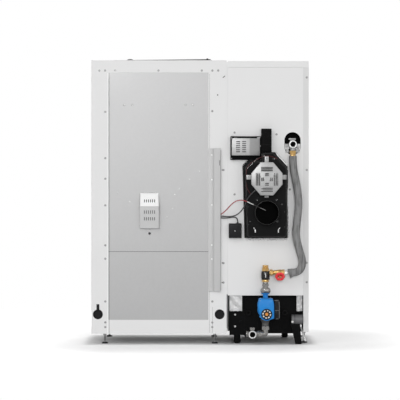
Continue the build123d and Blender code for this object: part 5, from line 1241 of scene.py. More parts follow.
def makeFlowOpening():
    x, rng = hoseX, random.Random(5)
    bm = bmesh.new()
    rings = []
    for grow, depth in opening["rings"]:
        half = opening["half"] + grow
        rings.append(newRing(bm, [(x + half * math.cos(turn), rearY + depth, opening["middle"] + half * math.sin(turn)
                                   + (opening["straight"] if math.sin(turn) > 0 else -opening["straight"]))
                                  for turn in circle(48)]))
    joinRings(bm, rings, 48)
    bm.faces.new(rings[-1])
    finishPiece("flowOpening", bm, "darkHole")
    bm = bmesh.new()
    for side, spread in opening["sideSpread"]:
        rows = []
        for i in range(9):
            z = opening["sideFoot"] + i * opening["sidePitch"]
            limit = math.sqrt(max(200, opening["reach"] ** 2 - max(0, opening["bend"] - z) ** 2))
            row = []
            for k in range(6):
                share = k / 5
                reach = limit + (spread - limit) * share * (0.75 + 0.5 * rng.random())
                lift = 1 + 8.5 * rng.random() * math.sin(math.pi * min(1, share + 0.15))
                row.append((x + side * reach, rearY + 2 - lift, z + rng.uniform(-2, 2)))
            rows.append(newRing(bm, row))
        joinRows(bm, rows)
    for side in (-1, 1):
        rows = []
        for i in range(7):
            reach = opening["footStart"] + i * opening["footPitch"]
            rows.append(newRing(bm, [(x + side * reach, rearY - 1 - 6 * rng.random(),
                                      opening["footZ"] - 3.2 * k + 0.05 * max(0, reach - 30) + rng.uniform(-1.8, 1.8))
                                     for k in range(4)]))
        joinRows(bm, rows)
    finishPiece("flowFoil", bm, "foil", smooth=20)


makeFlowFitting()
makeFlowOpening()


# Open end of the foam sleeve, and the bare pipe that runs from it into the brass line

hoseEnd = {"pipe": 9.8, "threads": 5, "threadPitch": 3.6, "flare": 4.6, "innerFlare": 6, "droop": 6.5}


def makeHoseEnd():
    x, y, z = hose["route"][-1]
    radius = hose["diameter"] / 2
    bore = radius - hose["wall"]
    bm = bmesh.new()
    outer, inner = [], []
    for share in (0.0, 0.25, 0.5, 0.75, 1.0):
        for rings, size in ((outer, radius + 0.2 + hoseEnd["flare"] * share),
                            (inner, bore + hoseEnd["innerFlare"] * share)):
            ring = []
            for turn in circle(48):
                reach = size * (1 + share * (0.020 * math.sin(5 * turn) + 0.012 * math.sin(11 * turn + 1)))
                up = reach * math.sin(turn)
                ring.append((x + 3 - share * (25 + 0.34 * up), y + reach * math.cos(turn),
                             z - hoseEnd["droop"] * share ** 1.5 + up))
            rings.append(newRing(bm, ring))
    joinRings(bm, outer + list(reversed(inner)), 48)
    paint(bm, 0)
    turned(bm, [(bore + 1.5, 6), (0, 6)], (x, y, z - 1), leftward, 36)
    paint(bm, 1)
    finishPiece("hoseEnd", bm, ["hoseFoam", "hoseInside"])
    bm = bmesh.new()
    pipe = hoseEnd["pipe"]
    bentTube(bm, [(x + 4, y, z), (box("bypass_valve")[1].x - 6, y, z)], pipe, 10, 28)
    for thread in range(hoseEnd["threads"]):
        along = 1 + thread * hoseEnd["threadPitch"]
        turned(bm, [(pipe + 0.1, along), (pipe + 0.8, along + 1.2), (pipe + 0.1, along + 2.4)], (x, y, z), leftward,
               28)
    finishPiece("hosePipe", bm, "turnedSteel")
    bm = bmesh.new()
    turned(bm, [(15, 1.6), (radius - 2, 1.4), (radius + 0.1, 0), (radius + 0.1, -5)], hose["route"][0], upward, 48,
           lambda reach, turn: reach * (1 + 0.010 * math.sin(4 * turn)))
    finishPiece("hoseTop", bm, "hoseFoam")


makeHoseEnd()


# Brass line: threaded unions, shut-off body with its tilted bonnet, and the plated nut of the hose pipe

line = {"radius": 14, "right": 462, "height": 396, "hex": 30, "plated": 25, "tilt": 30.0, "ringPitch": 2.2,
        "bonnet": [(0, 0), (15, 0), (14.2, 6), (11.2, 9), (10, 11), (10, 17)],
        "gland": [(8.6, 0), (7.8, 0.6), (3.6, 0.6)],
        "tail": [(11.2, 0), (11.8, 0.8), (11.2, 2.5), (10.2, 2.8), (0, 2.8)]}
wheelX = middleOf("handwheel").x


def bonnetPoint(distance):
    turn = math.radians(line["tilt"])
    return Vector((wheelX, pipeY - distance * math.cos(turn), line["height"] - distance * math.sin(turn)))


def makeBrassLine():
    left, right, radius = box("bypass_valve")[0].x, line["right"], line["radius"]
    end = right - left - 4

    def at(x):
        return Vector((x, pipeY, line["height"]))

    bm = bmesh.new()
    turned(bm, [(radius * share, along) for share, along in (
        (0, 0), (0.93, 0), (0.93, 3), (1, 4), (1, 20), (0.86, 22), (0.86, 28), (1, 31), (1, 44), (1.14, 47),
        (1.2, 52), (1.2, 62), (1.1, 68), (0.9, 72), (0.9, end), (0, end))], at(left), rightward, 44)
    hexNut(bm, at(left + 3.5), at(left + 17.5), line["hex"])
    hexNut(bm, at(right - 14), at(right), line["hex"])
    for step in range(4):
        turned(bm, [(radius * 0.88, 0), (radius * 0.97, 1), (radius * 0.88, 2)],
               at(left + 18.5 + step * line["ringPitch"]),
               rightward, 36)
    down = bonnetPoint(1) - bonnetPoint(0)
    turned(bm, line["bonnet"], bonnetPoint(8), down, 36)
    hexNut(bm, bonnetPoint(23.8), bonnetPoint(33.5), 23.8, bore=3.4)
    turned(bm, line["gland"], bonnetPoint(33.4), down, 30)
    paint(bm, 0)
    hexNut(bm, at(right + 0.5), at(right + 15), line["plated"], 0.6)
    turned(bm, line["tail"], at(right + 15), rightward, 32)
    paint(bm, 1)
    finishPiece("brassLine", bm, ["brass", "brightFitting"], stands="bypass_valve")


wheel = {"distance": 40.5, "centre": 18.8, "tube": 7.4, "lobes": 6, "lobeRise": 0.6, "lobeSwell": 0.8, "depth": 5.8,
         "spoke": [(4, 0.4), (10, 0.4), (16, -0.2), (20.5, 0)], "spokeRadius": 2.4,
         "hub": [(3.6, -4.4), (5.6, -4.4), (6, -3.6), (5.6, 3), (5, 4), (3.6, 4.2)],
         "stem": [(0, 0), (3, 0), (3, 50), (0, 50)]}


def makeHandwheel():
    axis = (bonnetPoint(1) - bonnetPoint(0)).normalized()
    middle = bonnetPoint(wheel["distance"])
    place = Matrix.Translation(middle) @ turnTo(axis)
    bm = bmesh.new()
    sides = 14
    rings = []
    for turn in circle(96):
        lobe = 0.5 + 0.5 * math.cos(wheel["lobes"] * turn)
        centre, tube = wheel["centre"] + wheel["lobeRise"] * lobe, wheel["tube"] + wheel["lobeSwell"] * lobe ** 2
        reaches = [(centre + tube * math.cos(around), wheel["depth"] * math.sin(around)) for around in circle(sides)]
        rings.append(newRing(bm, [place @ Vector((reach * math.cos(turn), reach * math.sin(turn), rise))
                                  for reach, rise in reaches]))
    joinRings(bm, rings + [rings[0]], sides)
    for turn in circle(3):
        sweptRings(bm, [place @ Vector((reach * math.cos(turn), reach * math.sin(turn), rise))
                        for reach, rise in wheel["spoke"]], wheel["spokeRadius"], 12)
    turned(bm, wheel["hub"], middle, axis, 32)
    paint(bm, 0)
    hexNut(bm, middle + axis * 2.2, middle + axis * 4.4, 8.8, 0.4)
    turned(bm, wheel["stem"], middle + axis * 4.3, -axis, 20)
    paint(bm, 1)
    finishPiece("handwheelRing", bm, ["redEnamel", "brass"], body="handwheel", stands="handwheel")


makeBrassLine()
makeHandwheel()


# Mixing valve: hexagon and ribbed crown, black body with a white bar down its front, brass collar, on the plated
# union of the pump

mixing = {"radius": 23.5, "low": 357, "high": 404, "hex": (37, 16.5), "lugs": 4, "lugTurn": 20, "lug": (1.6, 1.6, 14),
          "frontBar": (2, 1, 12.5), "crownRibs": 8,
          "crown": [(15, 0), (16.4, 1.2), (16.4, 4), (13.8, 5.4), (13.8, 7.6), (17.2, 9.4), (17.2, 13.8),
                    (15.2, 15.8), (10, 16.4), (0, 16.5)],
          "collar": [(15, 0), (18.2, 0.6), (19, 2), (19, 10.5), (18.2, 12.4), (16, 13)]}


def pumpAxis(z):
    return Vector((pumpX, pipeY, z))


def makeMixingValve():
    radius, low, high, (flats, tall) = mixing["radius"], mixing["low"], mixing["high"], mixing["hex"]
    length, middle = high - low, pumpAxis((low + high) / 2)

    def ribbed(reach, turn):
        return reach * (1 - (0.09 * (0.5 + 0.5 * math.cos(mixing["crownRibs"] * turn)) if reach > 16.5 else 0))

    bm = bmesh.new()
    hexNut(bm, pumpAxis(high), pumpAxis(high + tall), flats)
    turned(bm, mixing["crown"], pumpAxis(high + tall), upward, 48, ribbed)
    turned(bm, mixing["collar"], pumpAxis(low - 13), upward)
    paint(bm, 0)
    turned(bm, [(0, 0), (radius - 3, 0), (radius - 0.6, 1.5), (radius - 0.6, 7.2), (radius - 1.6, 8),
                (radius - 1.6, 9.4), (radius, 10.4), (radius, length - 6), (radius - 1.4, length - 2),
                (radius - 5, length), (0, length)],
           pumpAxis(low), upward, 64)
    half = Vector(mixing["lug"])
    for step in range(mixing["lugs"]):
        turn = math.radians(step * 360 / mixing["lugs"] + mixing["lugTurn"])
        lug = middle + Vector((math.cos(turn), math.sin(turn), 0)) * (radius - 0.4)
        slab(bm, lug - half, lug + half, 1.2)
    paint(bm, 1)
    frontBar, half = middle + Vector((0, -radius - 0.2, 1)), Vector(mixing["frontBar"])
    slab(bm, frontBar - half, frontBar + half, 0.6)
    paint(bm, 2)
    finishPiece("mixingValve", bm, ["brass", "glossBlack", "dialWhite"], stands="mixing_valve",
                smooth=50)


unions = {"nuts": [(320, 332, 34, 0.5), (103.5, 82, 38, 0.6)],
          # profile, height, direction, steps
          "forms": [([(20.5, 0), (20.5, 1.8), (17.8, 3), (15, 4), (15, 7.5)], 311.5, upward, 40),
                    ([(15, 0), (15.6, 0.8), (14.2, 2), (15.6, 3.2), (14.2, 4.4), (15.6, 5.6), (14.2, 6.8), (15.6, 8),
                      (15, 11.8)], 332, upward, 36),
                    ([(17.6, 0), (17.6, 1.6), (15, 2.4), (15, 6)], 82, downward, 36)],
          "ball": [(15, 0), (22.5, 0.6), (26.8, 6), (28.4, 13), (26.8, 20.5), (22.5, 26.4), (15, 27)],
          "ballFoot": 284.5}


def makeUnions():
    bm = bmesh.new()
    turned(bm, unions["ball"], pumpAxis(unions["ballFoot"]), upward, 72,
           lambda reach, turn: reach * (1 - 0.055 * abs(math.sin(4 * turn + 0.6))))
    for profile, height, direction, steps in unions["forms"]:
        turned(bm, profile, pumpAxis(height), direction, steps)
    for start, end, flats, chamfer in unions["nuts"]:
        hexNut(bm, pumpAxis(start), pumpAxis(end), flats, chamfer)
    finishPiece("pumpUnions", bm, "platedFitting", stands="pump_unions")


makeMixingValve()
makeUnions()


# Pump: painted head with its rounded front, volute, flanged neck and bare lower cone

pump = {
    "outline": [(-37, 62), (-30, 64.5), (30, 64.5), (37, 62), (41, 50), (45, 32), (45, -44), (36, -48), (16, -54),
                (3, -56), (-10, -53), (-24, -48), (-31, -32), (-37, -14), (-46, 22), (-45, 36), (-42, 46)],
    "centre": 194, "front": 82,
    # how far the outline shrinks, and how far the ring stands out
    "rings": [(0.06, 18), (0, 22), (0, 38), (0.012, 38.5), (0.012, 40.5), (0, 41), (0, 72), (0.025, 76.8),
              (0.075, 80.6), (0.15, 82)],
    "volute": [(0, -34), (36, -34), (42, -29), (44, -18), (44, 16), (40, 20), (0, 20)],
    "neck": [(13, 40), (13, 60), (13.5, 83), (19, 84.5), (23, 85.5), (23, 89.5), (0, 90)],
    "screws": [(-31, 51), (31, 51), (37, -36), (-29, -34)], "screwSeat": [(6.6, -10), (6, -0.5), (4.8, 0), (0, 0)],
    "ribs": (24, 30, 36), "dialSeat": [(35.5, -6), (34.5, -1), (32.5, -0.2), (31.5, -1), (31.2, -2.4)],
    "dialAt": (4, -21),
    "cone": [(27.5, 0), (27, 4), (24, 10), (20, 18), (18.6, 26), (19.6, 30), (19.6, 35), (17, 38), (0, 38)],
    "coneTop": 142}


def pumpPoint(x, z, reach):
    return Vector((pumpX + x, pipeY - reach, pump["centre"] + z))


def makePump():
    bm = bmesh.new()
    rings = [newRing(bm, [pumpPoint(x * (1 - shrink), z * (1 - shrink) - 4 * shrink, reach)
                          for x, z in pump["outline"]])
             for shrink, reach in pump["rings"]]
    joinRings(bm, rings, len(pump["outline"]))
    bm.faces.new(rings[-1])
    bm.faces.new(rings[0])
    centre, front = pumpAxis(pump["centre"]), pump["front"]
    turned(bm, pump["volute"], centre, steps=56)
    turned(bm, pump["neck"], centre, upward, 44)
    for x, z in pump["screws"]:
        turned(bm, pump["screwSeat"], pumpPoint(x, z, front - 1.2), steps=24)
    for z in pump["ribs"]:
        slab(bm, pumpPoint(-22, z - 1.2, front - 0.2), pumpPoint(22, z + 1.2, front - 1.6), 0.6)
    turned(bm, pump["dialSeat"], pumpPoint(*pump["dialAt"], front), steps=60)
    paint(bm, 0)
    for x, z in pump["screws"]:
        hexNut(bm, pumpPoint(x, z, front - 1.1), pumpPoint(x, z, front - 0.1), 5.6, 0.3, 2.2)
    paint(bm, 1)
    turned(bm, pump["cone"], pumpAxis(pump["coneTop"]), downward, 44)
    paint(bm, 2)
    finishPiece("pumpBody", bm, ["bluePaint", "zincScrew", "castGrey"], stands="pump_body", smooth=40)


dial = {"radius": 30, "marks": 8, "markTurn": 0.25, "markRing": (16.8, 23.5), "gap": 0.16, "grip": 0.012,
        "gripRibs": 24,
        "cap": [(9, 4.8), (8.8, 7.4), (8, 8.4), (3, 8.6), (0, 8)]}


def makeDial():
    x, _, z = middleOf("pump_dial")
    y, radius = pipeY - pump["front"] - 0.3, dial["radius"]

    def gripped(reach, turn):
        ribs = 0.5 + 0.5 * math.cos(dial["gripRibs"] * turn)
        return reach * (1 - (dial["grip"] * ribs if reach > radius - 0.5 else 0))

    bm = bmesh.new()
    turned(bm, [(0, 0), (radius - 1, 0), (radius, 1.2), (radius, 3), (radius - 1.2, 4.6), (radius - 3, 5), (26, 4.6),
                (12, 4.6), (11.2, 5.2), (10.5, 5.2), (0, 5.2)], (x, y, z), steps=72, radiusAt=gripped)
    slab(bm, (x - 1.8, y - 8, z + 6), (x + 1.8, y - 4, z + 24), 0.8)
    paint(bm, 0)
    for mark in range(dial["marks"]):
        start, end = (2 * math.pi * (mark + share) / dial["marks"] + dial["markTurn"]
                      for share in (dial["gap"], 1 - dial["gap"] * 1.6))
        turns = [start + (end - start) * step / 6 for step in range(7)]
        joinRows(bm, [newRing(bm, [(x + reach * math.cos(turn), y - 4.9, z + reach * math.sin(turn))
                                   for reach in dial["markRing"]]) for turn in turns])
    paint(bm, 1)
    turned(bm, dial["cap"], (x, y, z), steps=36)
    slab(bm, (x - 1.4, y - 8.7, z - 6.2), (x + 1.4, y - 8, z + 6.2), 0.4, 1)
    paint(bm, 2)
    finishPiece("pumpDial", bm, ["dialBlack", "dialWhite", "amberCap"], body="pump_dial",
                stands="pump_dial")


connector = {"ribs": (54, 60, 66), "gland": [(10.5, -4), (10.5, 1), (9, 2.2), (0, 2.2)], "cable": 1.6, "elbow": 12}


def makeConnector():
    low, high = box("pump_connector")
    middle = (low + high) / 2
    bm = bmesh.new()
    slab(bm, (low.x, low.y + 1.5, low.z), (high.x - 0.8, high.y, high.z), 5.8, 5)
    slab(bm, (low.x + 5, low.y + 0.2, low.z + 12), (high.x - 6, low.y + 4, low.z + 46), 1.6)
    for z in connector["ribs"]:
        slab(bm, (low.x + 6, low.y + 0.7, low.z + z), (high.x - 7, low.y + 3, low.z + z + 2.6), 0.8, 1)
    turned(bm, connector["gland"], (middle.x, middle.y, low.z + 2), downward, 30)
    paint(bm, 0)
    route = ((low.x + 6, high.z - 2.4), (high.x - 4.2, high.z - 3), (high.x - 2.2, high.z - 30),
             (high.x - 2.2, low.z + 4), (low.x + 10, low.z + 2.6))
    bentTube(bm, [(x, low.y + 3.4, z) for x, z in route], connector["cable"], connector["elbow"], 12)
    slab(bm, (low.x + 4, low.y + 1, low.z + 47.8), (high.x - 3.5, low.y + 4, low.z + 50), 0.6, 1)
    paint(bm, 1)
    finishPiece("pumpConnector", bm, ["blackMoulding", "plugGrey"], stands="pump_connector")


makePump()
makeDial()
makeConnector()


# Return: elbow below the pump, collared tee with an open port and a hexagon plug

tee = {"height": 60, "top": 76, "middle": 34, "radius": 15, "elbow": 30, "port": 20.5, "bore": 15, "portProud": 52,
       "plug": 26, "nut": 35, "ring": [(15, 0), (16.8, 0.6), (16.8, 5), (15, 5.8)],
       "collar": [(18.2, 0), (19.2, 1), (19.2, 7), (16, 9)],
       "endCap": [(0, 0), (15.5, 0), (17.2, 1), (17.2, 8.5), (15, 10.5), (15, 40)],
       "plugNeck": [(11.2, 10), (11.2, 20), (12.8, 21.5), (12.8, 24.2)]}


def makeReturnTee():
    low, high = box("return_tee")
    x, z, port, bore = low.x + tee["middle"], tee["height"], tee["port"], tee["bore"]
    top, end = (pumpX, pipeY, tee["top"]), (x, pipeY - tee["portProud"], z)
    bm = bmesh.new()
    bentTube(bm, [top, (pumpX, pipeY, z), (x - 1, pipeY, z)], tee["radius"], tee["elbow"], 32)
    turned(bm, tee["ring"], top, downward, 36)
    hexNut(bm, (pumpX - 36, pipeY, z), (pumpX - 22, pipeY, z), tee["nut"])
    turned(bm, tee["collar"], (pumpX - 36, pipeY, z), leftward, 36)
    turned(bm, tee["endCap"], (x - 34, pipeY, z), rightward, 36)
    turned(bm, [(13, 0), (13, high.y - pipeY)], (x, pipeY, z), forward, 28)
    turned(bm, [(0, -22), (bore, -22), (bore, -1.2), (bore + 0.8, -0.2), (port - 1.8, 0), (port, -1.4), (port, -11),
                (port - 2.4, -13), (port - 2.4, -40), (port - 1, -48), (port - 4, -62), (0, -64)], end, steps=56)
    hexNut(bm, (x, pipeY, z + 24), (x, pipeY, z + 36), tee["plug"], 0.6)
    turned(bm, tee["plugNeck"], (x, pipeY, z), upward, 32)
    paint(bm, 0)
    # disc deep in the port: painted shade for the dark inside
    turned(bm, [(0, -21.4), (bore - 0.4, -21.4), (bore - 0.4, -6)], end, steps=44)
    paint(bm, 1)
    finishPiece("returnTee", bm, ["platedFitting", "darkHole"], stands="return_tee")
    bm = bmesh.new()
    turned(bm, [(bore + 0.4, -10), (bore + 0.6, 0.2), (port - 1.6, 0.5), (port + 0.4, -1.2), (port + 0.4, -7)], end,
           steps=56)
    finishPiece("returnRim", bm, "brightFitting")


makeReturnTee()
print("pipework made")


# Boiler base, its legs and the levelling feet

base = {"back": 45, "inset": 3, "wire": 2.6, "rib": 2.4, "boltFlats": 10, "bossX": (267, 469), "bossZ": 170,
        # height of the lower rib, distance of the upright ones from the sides, and how far they end from the top
        "ribs": (10, 86, 20),
        "bolts": [(24, 22), (24, 188), (276, 22), (276, 188), (110, 190), (190, 190)],
        "boss": [(17, -0.6), (16.4, 1.6), (14.4, 3.4), (14.3, 16), (13, 18.1), (9.1, 18.2), (8.5, 17.2), (8.5, 4),
                 (0, 4)],
        "sides": (154.5, 594.5), "sideFoot": 68.5, "sideRise": 60}
baseY = rearY + base["back"]


def makeBase():
    low, high = box("boiler_base")
    inset, (ribRise, ribIn, ribShort) = base["inset"], base["ribs"]
    bm = bmesh.new()
    left, right, foot, top = low.x + inset, high.x - inset, low.z + inset, high.z - inset
    corners = [(left, foot), (right, foot), (right, top), (left, top), (left, foot)]
    for (x0, z0), (x1, z1) in zip(corners, corners[1:]):
        bentTube(bm, [(x0, baseY, z0), (x1, baseY, z1)], base["wire"], 2, 10)
    front, back = baseY - base["rib"], baseY + 1
    for x0, z0, x1, z1 in ((low.x + ribRise, low.z + ribRise, high.x - ribRise, low.z + ribRise + 4),
                           (low.x + ribIn, low.z + ribShort + 2, low.x + ribIn + 3, high.z - ribShort),
                           (high.x - ribIn - 3, low.z + ribShort + 2, high.x - ribIn, high.z - ribShort)):
        slab(bm, (x0, front, z0), (x1, back, z1), 1)
    for x, z in base["bolts"]:
        hexNut(bm, (low.x + x, baseY + 0.5, low.z + z), (low.x + x, baseY - 5, low.z + z), base["boltFlats"])
    for x in base["bossX"]:
        turned(bm, base["boss"], (x, baseY, base["bossZ"]))
    for x0, x1 in ((base["sides"][0], low.x + 1), (high.x - 1, base["sides"][1])):
        slab(bm, (x0, baseY + 14, base["sideFoot"]), (x1, baseY + 15.5, high.z + base["sideRise"]), 0.4, 1)
    finishPiece("baseTrim", bm, "blackMatt")


legs = {"plate": (163, 248, 47, 188), "holes": (95, 160), "holeX": 194, "nut": (223.4, 119), "drum": 27, "strut": 4.2,
        "drumX": (501.5, 566.5), "drumZ": 135, "pad": [(18.6, 1), (20, 3), (20, 7), (18.6, 9)],
        "hole": [(8.2, -0.2), (7.6, 1.2), (5.5, 1)], "band": [(25.8, -1), (27.6, -0.6), (27.6, 0.6), (25.8, 1)],
        "plug": [(5.2, 0), (5, 0.8), (4, 1.4), (0, 1.6)], "drumPlug": [(6.2, 0), (6, 1.4), (4.8, 2.2), (0, 2.4)],
        "drumProfile": [(0, 0), (24.5, 0), (27.3, 2.2), (27.3, 18), (26.8, 18.6), (26.8, 20), (27.3, 20.6),
                        (27.3, 62), (24.5, 64), (0, 64)],
        "eye": [(0, -4.2), (6.6, -4.2), (7.4, -3), (7.4, 3), (6.6, 4.2), (0, 4.2)]}


def makeLegs():
    bm = bmesh.new()
    x0, x1, z0, z1 = legs["plate"]
    slab(bm, (x0 - 0.4, baseY - 5, z0 - 0.4), (x0 + 3, baseY - 0.2, z1 + 0.4), 1)
    slab(bm, (x0, baseY - 5.2, z1 - 3), (x1, baseY - 0.2, z1 + 0.4), 1)
    x, z = legs["nut"]
    hexNut(bm, (x, baseY - 3.8, z), (x, baseY - 11, z), 17)
    holes = [(legs["holeX"], baseY - 4, height) for height in legs["holes"]]
    for hole in holes:
        turned(bm, legs["hole"], hole, steps=28)
    turned(bm, legs["pad"], (206, baseY + 22, 12), upward, 36)
    drumY, drumZ = baseY - legs["drum"] - 4, legs["drumZ"]
    for x in legs["drumX"]:
        turned(bm, legs["band"], (x, drumY, drumZ), rightward, 44)
    paint(bm, 0)
    for hole in holes:
        turned(bm, legs["plug"], hole, steps=26)
    turned(bm, legs["drumPlug"], (508, drumY - 26.2, 124), steps=26)
    paint(bm, 1)
    finishPiece("legTrim", bm, ["blackMatt", "dialWhite"])
    bm = bmesh.new()
    turned(bm, legs["drumProfile"], (502, drumY, drumZ), rightward, 56)
    finishPiece("legDrum", bm, "greyPaint")
    bm = bmesh.new()
    ends = [(553, drumY - 2, 101), (578.5, drumY + 26, 24)]
    bentTube(bm, ends, legs["strut"], 4)
    for place in ends:
        turned(bm, legs["eye"], place, steps=28)
    finishPiece("legStrut", bm, "brightFitting")


feet = {"pad": 17.5, "padHeight": 9, "nut": 17, "grip": 0.02, "pitch": 1.6,
        "washer": [(5.2, 0), (11, 0.2), (11, 1.2), (5.2, 1.4)]}


def makeFeet():
    bm = bmesh.new()
    places = [((low.x + high.x) / 2, (low.y + high.y) / 2, high.z) for low, high in islandBoxes("levelling_feet")]
    pad, rise, pitch = feet["pad"], feet["padHeight"], feet["pitch"]

    def gripped(reach, turn):
        return reach * (1 - (feet["grip"] * (0.5 + 0.5 * math.cos(20 * turn)) if reach > pad - 1 else 0))

    for x, y, top in places:
        turned(bm, [(0, 0), (pad - 1.5, 0), (pad, 1.4), (pad, 4), (pad - 2.2, rise - 2), (9, rise - 0.4), (8, rise),
                    (0, rise)], (x, y, 0), upward, radiusAt=gripped)
    paint(bm, 0)
    for x, y, top in places:
        profile = [(6.8, 0), (6.8, 2.2), (5, 3.2)]
        for step in range(int((top - rise - 14) / pitch)):
            profile += [(5, 3.4 + step * pitch), (4.4, 4.2 + step * pitch)]
        turned(bm, profile + [(5, top - rise - 0.5)], (x, y, rise), upward, 24)
        hexNut(bm, (x, y, top - 9), (x, y, top - 0.2), feet["nut"], 0.6)
        turned(bm, feet["washer"], (x, y, top - 10.6), upward, 30)
    paint(bm, 1)
    finishPiece("levellingFeet", bm, ["blackMoulding", "turnedSteel"], stands="levelling_feet")


makeBase()
makeLegs()
makeFeet()


# Foil flaps of the insulation mats, which show beside the base

flaps = {"places": ((162.5, 231.8, 182, 330), (532.4, 563.2, 182, 330)), "step": 7.5, "crease": 5.0, "rough": 1.6,
         "rag": 3.0}


def makeFlaps():
    rng = random.Random(23)
    front = rearY + 24 - 0.8
    bm = bmesh.new()
    for x0, x1, z0, z1 in flaps["places"]:
        columns, rows = max(4, int((x1 - x0) / flaps["step"])), int((z1 - z0) / flaps["step"])
        grid = []
        for row in range(rows + 1):
            line = []
            for column in range(columns + 1):
                share = column / columns
                fold = abs(math.sin(4.0 * share + 7.0 * row / rows))
                crease = flaps["crease"] * fold + flaps["rough"] * rng.random()
                rag = rng.uniform(-flaps["rag"], flaps["rag"]) if row == 0 else 0.0
                line.append((x0 + (x1 - x0) * share, front - crease, z0 + (z1 - z0) * row / rows + rag))
            grid.append(newRing(bm, line))
        joinRows(bm, grid)
    finishPiece("foilFlaps", bm, "foil", smooth=18)


# Black liners behind the two hose holes of the pellet store, with their rubber edging

liner = {"places": (-561.5, 108), "height": 164, "slot": (-571.5, -551.5, 186, 228),
         "profile": [(27.2, -1.6), (27.2, 0.6), (26.2, 1.4), (25, 1.2), (24.4, 0), (24.6, -3), (33.5, -3.2),
                     (33.5, -15), (0, -15.5)]}


def makeHoleLiners():
    bm = bmesh.new()
    for x in liner["places"]:
        turned(bm, liner["profile"], (x, rearY, liner["height"]), steps=48)
    left, right, foot, top = liner["slot"]
    slab(bm, (left, rearY + 4, foot), (right, rearY + 14, top), 1, 1)
    finishPiece("holeLiners", bm, "blackMoulding")


makeFlaps()
makeHoleLiners()
print("base and feet made")


# Front controls: display in its bezel, rocker switch and door latch

display = {"frame": 8, "glassDeep": 1.2}


def makeDisplay():
    low, high = box("control_display")
    bm = bmesh.new()
    slab(bm, low, (high.x, high.y - 0.6, high.z), 2.2, 4)
    paint(bm, 0)
    edge = display["frame"]
    slab(bm, (low.x + edge, high.y - display["glassDeep"], low.z + edge),
         (high.x - edge, high.y - 0.2, high.z - edge), 0.4)
    paint(bm, 1)
    finishPiece("controlDisplay", bm, ["blackMoulding", "displayGlass"], stands="control_display")


rocker = {"half": 11, "tall": 15, "pivotDeep": 10, "tilt": 7.0, "inset": 3, "frame": (4, 6), "lip": (1, 3)}


def makeSwitch():
    x, _, z = middleOf("main_switch")
    front = box("boiler_front_panel")[1].y
    half, tall, inset = rocker["half"], rocker["tall"], rocker["inset"]
    bm = bmesh.new()
    slab(bm, (-half, -4, -tall), (half, 12.8, tall), 2, 4)
    for foot, top in ((-tall + 4, -3), (3, tall - 4)):
        slab(bm, (-half + inset, 12.6, foot), (half - inset, 13.4, top), 0.4, 1)
    place = (Matrix.Translation(Vector((x, front - rocker["pivotDeep"], z)))
             @ Matrix.Rotation(math.radians(-rocker["tilt"]), 4, "X"))
    for vert in bm.verts:
        vert.co = place @ vert.co
    finishPiece("mainSwitch", bm, "blackMoulding", body="main_switch", stands="main_switch")
    bm = bmesh.new()
    rings = []
    for (wide, high), y in ((rocker["frame"], 0), (rocker["frame"], 1.2), (rocker["lip"], 1.6), (rocker["lip"], -1)):
        w, h = half + wide, tall + high
        rings.append(newRing(bm, [(x + px, front + y, z + pz) for px, pz in ((-w, -h), (w, -h), (w, h), (-w, h))]))
    joinRings(bm, rings, 4)
    finishPiece("switchBezel", bm, "blackMoulding")


latch = {"boss": [(0, -1), (13, 0.3), (14, 1.4), (14, 5), (11.2, 8), (10.5, 20), (11.8, 24), (11.8, 30), (0, 30)],
         "bossDrop": 14, "wide": 10.8, "deep": 5.8, "waist": 0.22, "endShare": 0.72, "corner": 0.6, "steps": 16}


def makeLatch():
    low, high = box("door_latch")
    x, corner = (low.x + high.x) / 2, latch["corner"]
    bm = bmesh.new()
    turned(bm, latch["boss"], (x, box("boiler_front_panel")[1].y, high.z - latch["bossDrop"]), forward)
    rings = []
    for step in range(latch["steps"] + 1):
        share = step / latch["steps"]
        size = latch["endShare"] if share in (0.0, 1.0) else 1
        wide, deep = latch["wide"] * (1 - latch["waist"] * math.sin(math.pi * share)) * size, latch["deep"] * size
        rings.append(newRing(bm, [(x + wide * math.copysign(abs(math.cos(turn)) ** corner, math.cos(turn)),
                                   high.y - 6 + deep * math.copysign(abs(math.sin(turn)) ** corner, math.sin(turn)),
                                   high.z - (high.z - low.z) * share) for turn in circle(24)]))
    joinRings(bm, rings, 24)
    bm.faces.new(rings[0])
    bm.faces.new(rings[-1])
    finishPiece("doorLatch", bm, "blackMoulding", body="door_latch", stands="door_latch")


# Skirt that closes the side of the ash box front up to the casing

skirt = {"inset": 0.4, "sheet": 1.2, "gap": 0.8, "depth": 19.5}


def makeAshSkirt():
    low, high = box("ash_box")
    start = box("boiler_base")[1].y + skirt["gap"]
    end = start + skirt["depth"]
    bm = bmesh.new()
    rings = []
    for edge, y in ((0, start), (0, end), (skirt["sheet"], end), (skirt["sheet"], start)):
        inset = skirt["inset"] + edge
        rings.append(newRing(bm, [(x, y, z) for x, z in (
            (low.x + inset, low.z + inset), (high.x - inset, low.z + inset), (high.x - inset, high.z - inset),
            (low.x + inset, high.z - inset))]))
    joinRings(bm, rings + [rings[0]], 4)
    finishPiece("ashBoxSkirt", bm, "greyCasing", body="ash_box")


makeDisplay()
makeSwitch()
makeLatch()
makeAshSkirt()
print("front controls made")


# Studio: pale floor and backdrop, a wide lamp behind the camera, and weaker ones around the unit. Metres.

